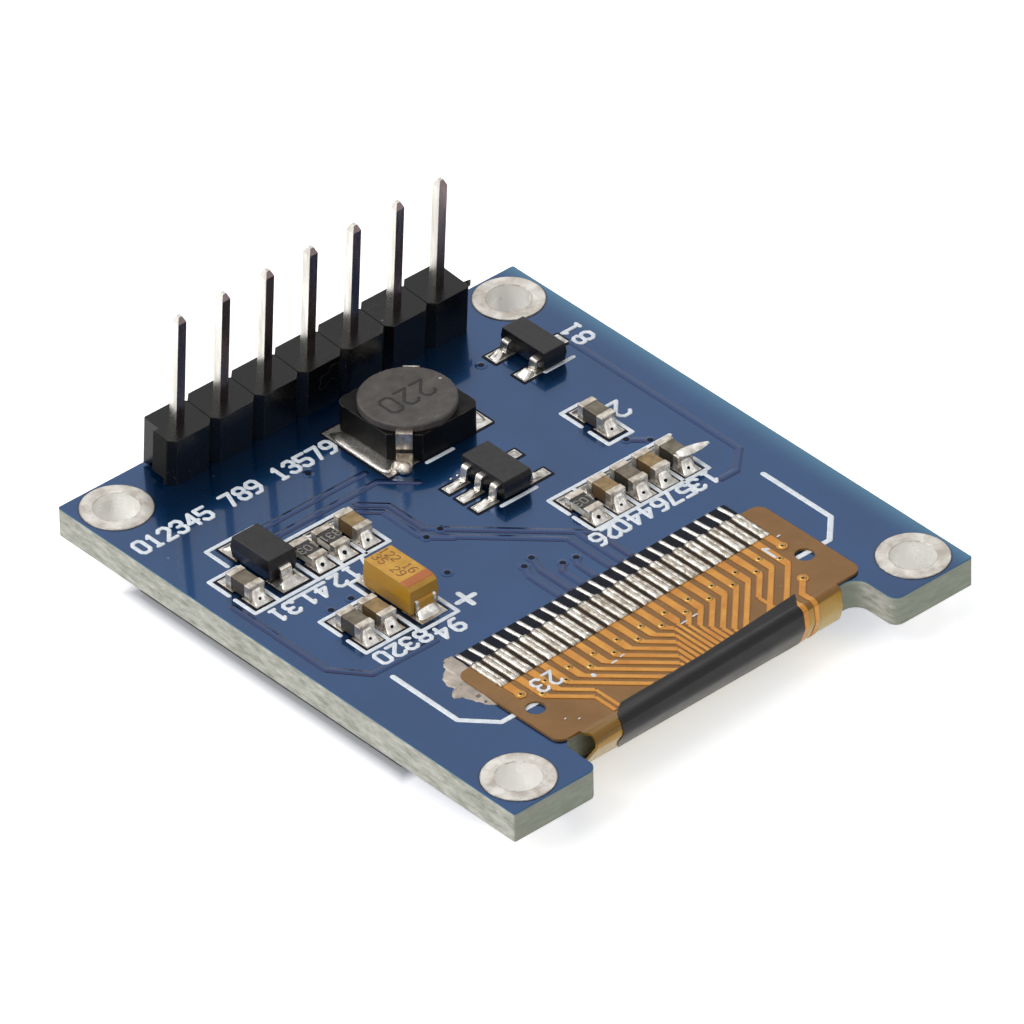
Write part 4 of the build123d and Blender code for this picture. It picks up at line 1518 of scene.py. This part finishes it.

# dark rims where the mask stops short of each pad, partly painted shade round the pads: centre and half size
openingLook = {"margin": 0.13, "height": 0.014, "square": 0.12}
openings = [
    ((0.415, 2.34), (0.625, 0.265)),
    ((0.415, 3.29), (0.625, 0.265)),
    ((0.415, 4.24), (0.625, 0.265)),
    ((3.465, 2.34), (0.625, 0.265)),
    ((3.465, 4.24), (0.625, 0.265)),
    ((8.44, 8.35), (0.625, 0.375)),
    ((8.44, 10.25), (0.625, 0.375)),
    ((10.68, 9.3), (0.625, 0.375)),
    ((-9.55, 4.08), (0.75, 0.6)),
    ((-9.55, 7.22), (0.75, 0.6)),
    ((-6.65, -1.53), (0.75, 0.65)),
    ((-6.65, 1.33), (0.75, 0.65)),
    ((-0.38, 8.95), (0.97, 2.25)),
    ((3.8, 8.95), (0.97, 2.25)),
]
for chip in chips:
    near, far = (np.array(corner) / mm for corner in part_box(chip + "_ends"))
    middle = (near + far) / 2
    openings += [((middle[0], middle[1] + side * 0.815), (0.475, 0.515)) for side in (-1, 1)]
centres, halves = (np.array(values) for values in zip(*openings))
flat, t, _ = domePoints(centres, halves + openingLook["margin"], openingLook["square"], 24, 3)
makePiece(
    "mask_openings",
    closeDome(flat, openingLook["height"], boardTop),
    darkMaterial,
    smooth=False,
)

# ribbon's own plan: x across its contacts, y towards them, turned a little on the board
ribbonLook = {"origin": (0.2, -9.3), "turn": 0.65, "filmTop": 3.12, "copperTop": 3.15}


def onRibbon(points):
    angle = np.radians(ribbonLook["turn"])
    x, y = points[..., 0], points[..., 1]
    turned = np.stack(
        [
            x * np.cos(angle) - y * np.sin(angle) + ribbonLook["origin"][0],
            x * np.sin(angle) + y * np.cos(angle) + ribbonLook["origin"][1],
        ],
        axis=-1,
    )
    return np.concatenate([turned, points[..., 2:]], axis=-1)


def barPoints(places, profile, stations, base, rough):
    # bars along y: the profile of width and height is carried through the stations (distance
    # along, width share, height share), and its upper points are moved by a little noise
    places, profile, stations = (np.array(values, dtype=float) for values in (places, profile, stations))
    shape = (len(places), len(stations), len(profile))
    x = places[:, None, None, 0] + stations[None, :, 1, None] * profile[None, None, :, 0]
    y = places[:, None, None, 1] + np.broadcast_to(stations[None, :, 0, None], shape)
    z = stations[None, :, 2, None] * profile[None, None, :, 1]
    lumps = random.normal(0, rough, shape) * (z > 0.02)
    return np.stack([x + lumps * 0.5, y, base + z + lumps], axis=-1)


contactLook = {
    "count": 23,
    "pitch": 0.703,
    "middle": -0.17,
    "finger": [
        (-0.27, 0),
        (-0.27, 0.03),
        (-0.24, 0.08),
        (-0.17, 0.11),
        (-0.08, 0.115),
        (0.0, 0.105),
        (0.03, 0.05),
        (0.06, 0.09),
        (0.13, 0.09),
        (0.19, 0.07),
        (0.23, 0.03),
        (0.23, 0),
    ],
    "fingerFrom": 1.3,
    "fingerTo": 3.3,
    "tip": [
        (-0.12, 0),
        (-0.12, 0.06),
        (-0.09, 0.09),
        (-0.01, 0.1),
        (0.07, 0.085),
        (0.1, 0.05),
        (0.11, 0),
    ],
    "tipTo": 4.4,
    "rough": 0.007,
}
contactX = (np.arange(contactLook["count"]) - (contactLook["count"] - 1) / 2) * contactLook[
    "pitch"
] + contactLook["middle"]
contactPlaces = np.stack([contactX, np.zeros(contactLook["count"])], axis=-1)
along = np.linspace(contactLook["fingerFrom"], contactLook["fingerTo"], 13)
stations = np.stack([along, np.ones(13), np.ones(13)], axis=-1)
closing = np.array([(along[0] - 0.03, 0.0, 0.0), (along[-1] + 0.03, 0.0, 0.0)])
fingerMaterial = dressPlain(
    "fingerSolder",
    {
        "light": (240, 236, 228),
        "dark": (150, 138, 122),
        "scale": 4200,
        "stretch": (1, 0.6, 1),
        "spread": 0.14,
        "rough": (0.14, 0.4),
        "metal": 0.92,
        "grain": 2600,
        "depth": 0.00002,
        "strength": 0.6,
        "radius": 0.00002,
    },
)
makePiece(
    "finger_solder",
    onRibbon(
        barPoints(
            contactPlaces,
            contactLook["finger"],
            np.concatenate([closing[:1], stations, closing[1:]]),
            ribbonLook["filmTop"],
            contactLook["rough"],
        )
    ),
    fingerMaterial,
    hides=["contact_fingers"],
)
along = np.linspace(contactLook["fingerTo"] - 0.04, contactLook["tipTo"], 8)
fall = np.linspace(2.0, 0.7, 8)
stations = np.stack([along, np.ones(8), fall], axis=-1)
closing = np.array([(along[0] - 0.01, 0.0, 0.0), (along[-1] + 0.02, 0.0, 0.0)])
makePiece(
    "landing_solder",
    onRibbon(
        barPoints(
            contactPlaces,
            contactLook["tip"],
            np.concatenate([closing[:1], stations, closing[1:]]),
            boardTop,
            contactLook["rough"] * 0.6,
        )
    ),
    looks["solder"],
    hides=["contact_landings"],
)
# a dark bed under the landings: bare laminate between them, partly painted shade
bed = [((contactLook["middle"] + 0.1, 3.83), (8.0, 0.6))]
centres, halves = (np.array(values) for values in zip(*bed))
flat, t, _ = domePoints(centres, halves, 0.06, 24, 3)
makePiece(
    "landing_bed",
    onRibbon(closeDome(flat, 0.016, boardTop)),
    darkMaterial,
    smooth=False,
)
gapMaterial = dressPlain(
    "burntFlux",
    {
        "light": (58, 42, 26),
        "dark": (30, 22, 14),
        "scale": 1500,
        "shine": 0.15,
        "rough": (0.3, 0.5),
        "depth": 0.00001,
    },
)
flat, t, _ = domePoints(np.array([(contactLook["middle"], 2.3)]), (8.0, 0.99), 0.06, 24, 3)
makePiece(
    "finger_bed",
    onRibbon(closeDome(flat, 0.02, ribbonLook["filmTop"])),
    gapMaterial,
    smooth=False,
)

# test points of the ribbon: a pale ring and a dark middle on each strip in turn near and far
ringLook = {"near": 0.33, "far": -0.26, "bend": (6.6, -2.0), "rim": 0.19, "eye": 0.08}
ringPlaces = np.stack(
    [contactX, np.where(np.arange(contactLook["count"]) % 2 == 0, ringLook["near"], ringLook["far"])],
    axis=-1,
)
ringPlaces = np.concatenate([ringPlaces, [ringLook["bend"]]])
rimMaterial = dressPlain(
    "paleCopper",
    {
        "light": (252, 204, 112),
        "dark": (232, 172, 84),
        "scale": 2000,
        "rough": (0.25, 0.4),
        "metal": 0.3,
        "depth": 0.000006,
    },
)
for name, radius, height, material in (
    ("ring_rims", ringLook["rim"], 0.01, rimMaterial),
    ("ring_eyes", ringLook["eye"], 0.016, gapMaterial),
):
    flat, t, _ = domePoints(ringPlaces, (radius, radius), 1.0, 20, 4)
    makePiece(
        name,
        onRibbon(closeDome(flat, height * (1 - 0.5 * t**4), ribbonLook["copperTop"] - 0.004)),
        material,
    )

# numbers on the parts: text, centre, size, turn, width, pitch, stroke, top of the part, colour
partNumbers = {
    "inductor_number": ([("220", (1.66, 8.83), 1.15, 180, 0.86, 5.0)], 0.15, "inductor_drum", (30, 28, 27)),
    "tantalum_number": (
        [
            ("122 16", (-6.38, 0.32), 0.42, -90, 0.9, 5.4),
            ("35 29", (-6.92, 0.34), 0.42, -90, 0.9, 5.8),
        ],
        0.055,
        "tantalum_body",
        (150, 96, 50),
    ),
    "resistor_numbers": (
        [
            ("103", (-7.77, 4.75), 0.42, 180, 0.9, 5.2),
            ("331", (-6.47, 4.75), 0.42, 180, 0.9, 5.2),
            ("103", (3.36, -0.88), 0.42, 180, 0.9, 5.2),
        ],
        0.055,
        "resistor_1_body",
        (176, 172, 164),
    ),
}
for name, (rows, width, node, colour) in partNumbers.items():
    strokes = [line for row in rows for line in numberLines(*row)]
    makePiece(
        name,
        strokePoints(strokes, width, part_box(node)[1].z / mm - 0.004, 0.012, 0.1),
        dressPlain(
            name + "_ink",
            {
                "light": colour,
                "dark": tuple(int(part * 0.8) for part in colour),
                "scale": 3000,
                "rough": (0.4, 0.6),
                "depth": 0.000002,
            },
        ),
        smooth=False,
    )

# white numbers and marks on the ribbon, and scraps of flux that cling to it
ribbonMarks = numberLines("23", (-6.3, -9.15), 0.92, 180.65, 0.78, 5.0)
ribbonMarks += [[(6.97, -9.3), (6.97, -8.5)], [(6.97, -8.5), (7.15, -8.66)]]
makePiece(
    "ribbon_print",
    strokePoints(ribbonMarks, 0.15, ribbonLook["filmTop"], 0.045, 0.1),
    inkMaterial,
    smooth=False,
)
print("ribbon's contacts, rings and numbers laid")

# dried flux beside the first contact: its rim is a ragged line given in the board's plan, and it thins from its
# middle to that rim under small lumps
fluxLook = {
    "middle": (-8.85, -6.9),
    "height": 0.09,
    "lumps": 0.012,
    "rim": [
        (-8.3, -4.8),
        (-7.95, -4.85),
        (-7.9, -5.6),
        (-7.95, -6.6),
        (-8.1, -7.5),
        (-8.5, -8.3),
        (-8.85, -8.8),
        (-9.05, -8.55),
        (-9.33, -8.0),
        (-9.6, -7.4),
        (-9.9, -7.2),
        (-9.8, -6.9),
        (-9.42, -6.65),
        (-9.52, -6.27),
        (-9.36, -5.83),
        (-8.85, -5.46),
        (-8.55, -4.95),
    ],
}
rim = np.array(fluxLook["rim"])
between = np.linspace(0, len(rim), 68, endpoint=False)
closed = np.concatenate([rim, rim[:1]])
rim = np.stack([np.interp(between, np.arange(len(closed)), closed[:, axis]) for axis in (0, 1)], axis=-1)
rim = rim + random.normal(0, 0.02, rim.shape)
t = np.sin(np.linspace(0, np.pi / 2, 9))[:, None]
middle = np.array(fluxLook["middle"])
flat = (middle + t[..., None] * (rim - middle))[None]
lumps = random.normal(0, fluxLook["lumps"], flat.shape[:3]) * (1 - t**6) * t
makePiece(
    "flux_stain",
    closeDome(flat, fluxLook["height"] * (1 - t[None] ** 5) + lumps, boardTop),
    looks["flux"],
    hides=["flux_spill"],
)

# a flat whisker of solder drawn out from the end of one chip: its width and thickness
# shrink from the root to a blunt tip
whiskerLook = {
    "from": (8.35, -1.52, 3.8),
    "to": (9.98, -1.78, 3.86),
    "wide": [0, 0.24, 0.3, 0.31, 0.27, 0.17, 0.09, 0],
    "thick": [0, 0.08, 0.12, 0.11, 0.09, 0.06, 0.04, 0],
    "along": [0, 0.01, 0.2, 0.4, 0.65, 0.85, 0.98, 1],
}
along, wide, thick = (np.array(whiskerLook[key])[:, None] for key in ("along", "wide", "thick"))
angle = (np.arange(14) * 2 * np.pi / 14)[None]
root, tip = (np.array(whiskerLook[key]) for key in ("from", "to"))
spine = root + along * (tip - root)
ring = np.stack(
    [
        spine[:, :1] + 0 * angle,
        spine[:, 1:2] + wide * np.cos(angle),
        spine[:, 2:] + thick * np.sin(angle),
    ],
    axis=-1,
)
makePiece("solder_whisker", ring[None], looks["solder"])

# scraps: crumbs of flux that cling to the ribbon and small beads of tin on the board
scrapLook = {
    "crumbs": [
        (0.9, -10.05, 0.22, 0.05),
        (1.6, -10.0, 0.18, 0.05),
        (-4.5, -10.2, 0.12, 0.16),
        (-3.2, -10.1, 0.2, 0.06),
        (-2.65, -10.0, 0.16, 0.05),
        (8.15, -8.25, 0.12, 0.05),
        (-7.45, -11.65, 0.06, 0.04),
        (-7.0, -12.05, 0.07, 0.04),
    ],
    "beads": [(0.62, 4.8, 0.09, 0.07), (1.0, 4.8, 0.08, 0.07)],
}
for name, base, height, material, slotName in (
    ("crumbs", ribbonLook["copperTop"] - 0.02, 0.05, inkMaterial, "ribbon_film"),
    ("beads", boardTop, 0.05, looks["solder"], "solder"),
):
    scraps = np.array(scrapLook[name])
    flat, t, _ = domePoints(scraps[:, :2], scraps[:, 2:], 0.8, 16, 5)
    heights = height * np.sqrt(np.clip(1 - t**2, 0, 1))
    makePiece("flux_" + name, closeDome(flat, heights, base), material)
print("flux, whisker and scraps laid")

cameraLook = {
    "azimuth": -41.24363,
    "elevation": 36.56746,
    "roll": -1.06619,
    "distance": 0.55,
    "focalPixels": 12582.02,
    "offsetPixels": (1.5373, 20.0822),
    "framePixels": 1024,
}
azimuth, elevation, roll = (
    np.radians(cameraLook[key]) for key in ("azimuth", "elevation", "roll")
)
back = Vector(
    (
        np.sin(azimuth) * np.cos(elevation),
        -np.cos(azimuth) * np.cos(elevation),
        np.sin(elevation),
    )
)
level = Vector((np.cos(azimuth), np.sin(azimuth), 0))
upright = back.cross(level)
right = np.cos(roll) * level + np.sin(roll) * upright
up = -np.sin(roll) * level + np.cos(roll) * upright
cameraData = bpy.data.cameras.new("camera")
cameraData.sensor_width = 36
cameraData.lens = cameraLook["focalPixels"] / cameraLook["framePixels"] * 36
cameraData.shift_x = -cameraLook["offsetPixels"][0] / cameraLook["framePixels"]
cameraData.shift_y = cameraLook["offsetPixels"][1] / cameraLook["framePixels"]
cameraData.clip_start, cameraData.clip_end = 0.01, 10
camera = bpy.data.objects.new("camera", cameraData)
scene.collection.objects.link(camera)
turned = Matrix((right, up, back)).transposed().to_4x4()
camera.matrix_world = Matrix.Translation(
    Vector((0, 0, boardTop * mm)) + back * cameraLook["distance"]
) @ turned
scene.camera = camera

stageLook = {
    "floorSize": 3.0,
    "floor": (250, 250, 250),
    "lift": 0.5,
    "liftFrom": (0.0001, 0.0007),
    "world": 0.62,
    "darkSide": (0.88, -0.47, 0.0),
    "darkShare": 0.4,
    "lamps": [
        # place, size, power
        ((-0.38, 0.1, 0.4), 0.3, 1.15),
        ((-0.12, 0.42, 0.4), 0.3, 0.6),
        ((0.3, -0.35, 0.3), 0.3, 0.16),
    ],
}
half = stageLook["floorSize"] / 2
floorMesh = bpy.data.meshes.new("floor")
floorMesh.from_pydata(
    [(-half, -half, 0), (half, -half, 0), (half, half, 0), (-half, half, 0)], [], [(0, 1, 2, 3)]
)
floor = bpy.data.objects.new("floor", floorMesh)
scene.collection.objects.link(floor)
floorMaterial, tree, shader = startMaterial("paleFloor")
setShader(
    tree,
    shader,
    Base_Color=srgb(*stageLook["floor"]),
    Roughness=0.9,
    Specular_IOR_Level=0.0,
    Emission_Color=(1, 1, 1, 1),
)
seen = addNode(tree, "ShaderNodeLightPath")
direct = addMath(
    tree,
    "MAXIMUM",
    seen.outputs["Is Camera Ray"],
    addMath(
        tree, "MAXIMUM", seen.outputs["Is Glossy Ray"], seen.outputs["Is Transmission Ray"]
    ),
)
# distance outside the display's outline: the floor is lifted only from there outwards
near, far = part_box("display_glass")
offX, offY = (
    addMath(
        tree,
        "SUBTRACT",
        addMath(tree, "ABSOLUTE", addMath(tree, "SUBTRACT", objectAxis(tree, axis), middle)),
        half,
    )
    for axis, middle, half in (
        ("X", (near.x + far.x) / 2, (far.x - near.x) / 2),
        ("Y", (near.y + far.y) / 2, (far.y - near.y) / 2),
    )
)
outside = remap(tree, addMath(tree, "MAXIMUM", offX, offY), *stageLook["liftFrom"])
tree.links.new(
    addMath(tree, "MULTIPLY", addMath(tree, "MULTIPLY", direct, outside), stageLook["lift"]),
    shader.inputs["Emission Strength"],
)
floorMesh.materials.append(floorMaterial)

world = bpy.data.worlds.new("studio")
scene.world = world
world.use_nodes = True
tree = world.node_tree
background = tree.nodes["Background"]
background.inputs["Color"].default_value = (1, 1, 1, 1)
seen = addNode(tree, "ShaderNodeLightPath")
direct = addMath(
    tree,
    "MAXIMUM",
    seen.outputs["Is Camera Ray"],
    addMath(
        tree, "MAXIMUM", seen.outputs["Is Glossy Ray"], seen.outputs["Is Transmission Ray"]
    ),
)
towards = addNode(tree, "ShaderNodeTexCoord").outputs["Generated"]
turnedAway = addNode(
    tree,
    "ShaderNodeVectorMath",
    {0: towards, 1: stageLook["darkSide"]},
    operation="DOT_PRODUCT",
).outputs["Value"]
studio = addMath(
    tree,
    "MAXIMUM",
    remap(tree, turnedAway, 0.2, 0.85, 1.0, stageLook["darkShare"]),
    seen.outputs["Is Camera Ray"],
)
tree.links.new(
    addMath(tree, "MULTIPLY", studio, remap(tree, direct, 0, 1, stageLook["world"], 1.0)),
    background.inputs["Strength"],
)

for number, (place, size, power) in enumerate(stageLook["lamps"], start=1):
    lampData = bpy.data.lights.new(f"softbox_{number}", "AREA")
    lampData.shape = "SQUARE"
    lampData.size = size
    lampData.energy = power
    lamp = bpy.data.objects.new(f"softbox_{number}", lampData)
    scene.collection.objects.link(lamp)
    lamp.location = place
    lamp.rotation_mode = "QUATERNION"
    lamp.rotation_quaternion = Vector(place).to_track_quat("Z", "Y")

scene.view_settings.view_transform = "Standard"
print("camera, floor and lights set")
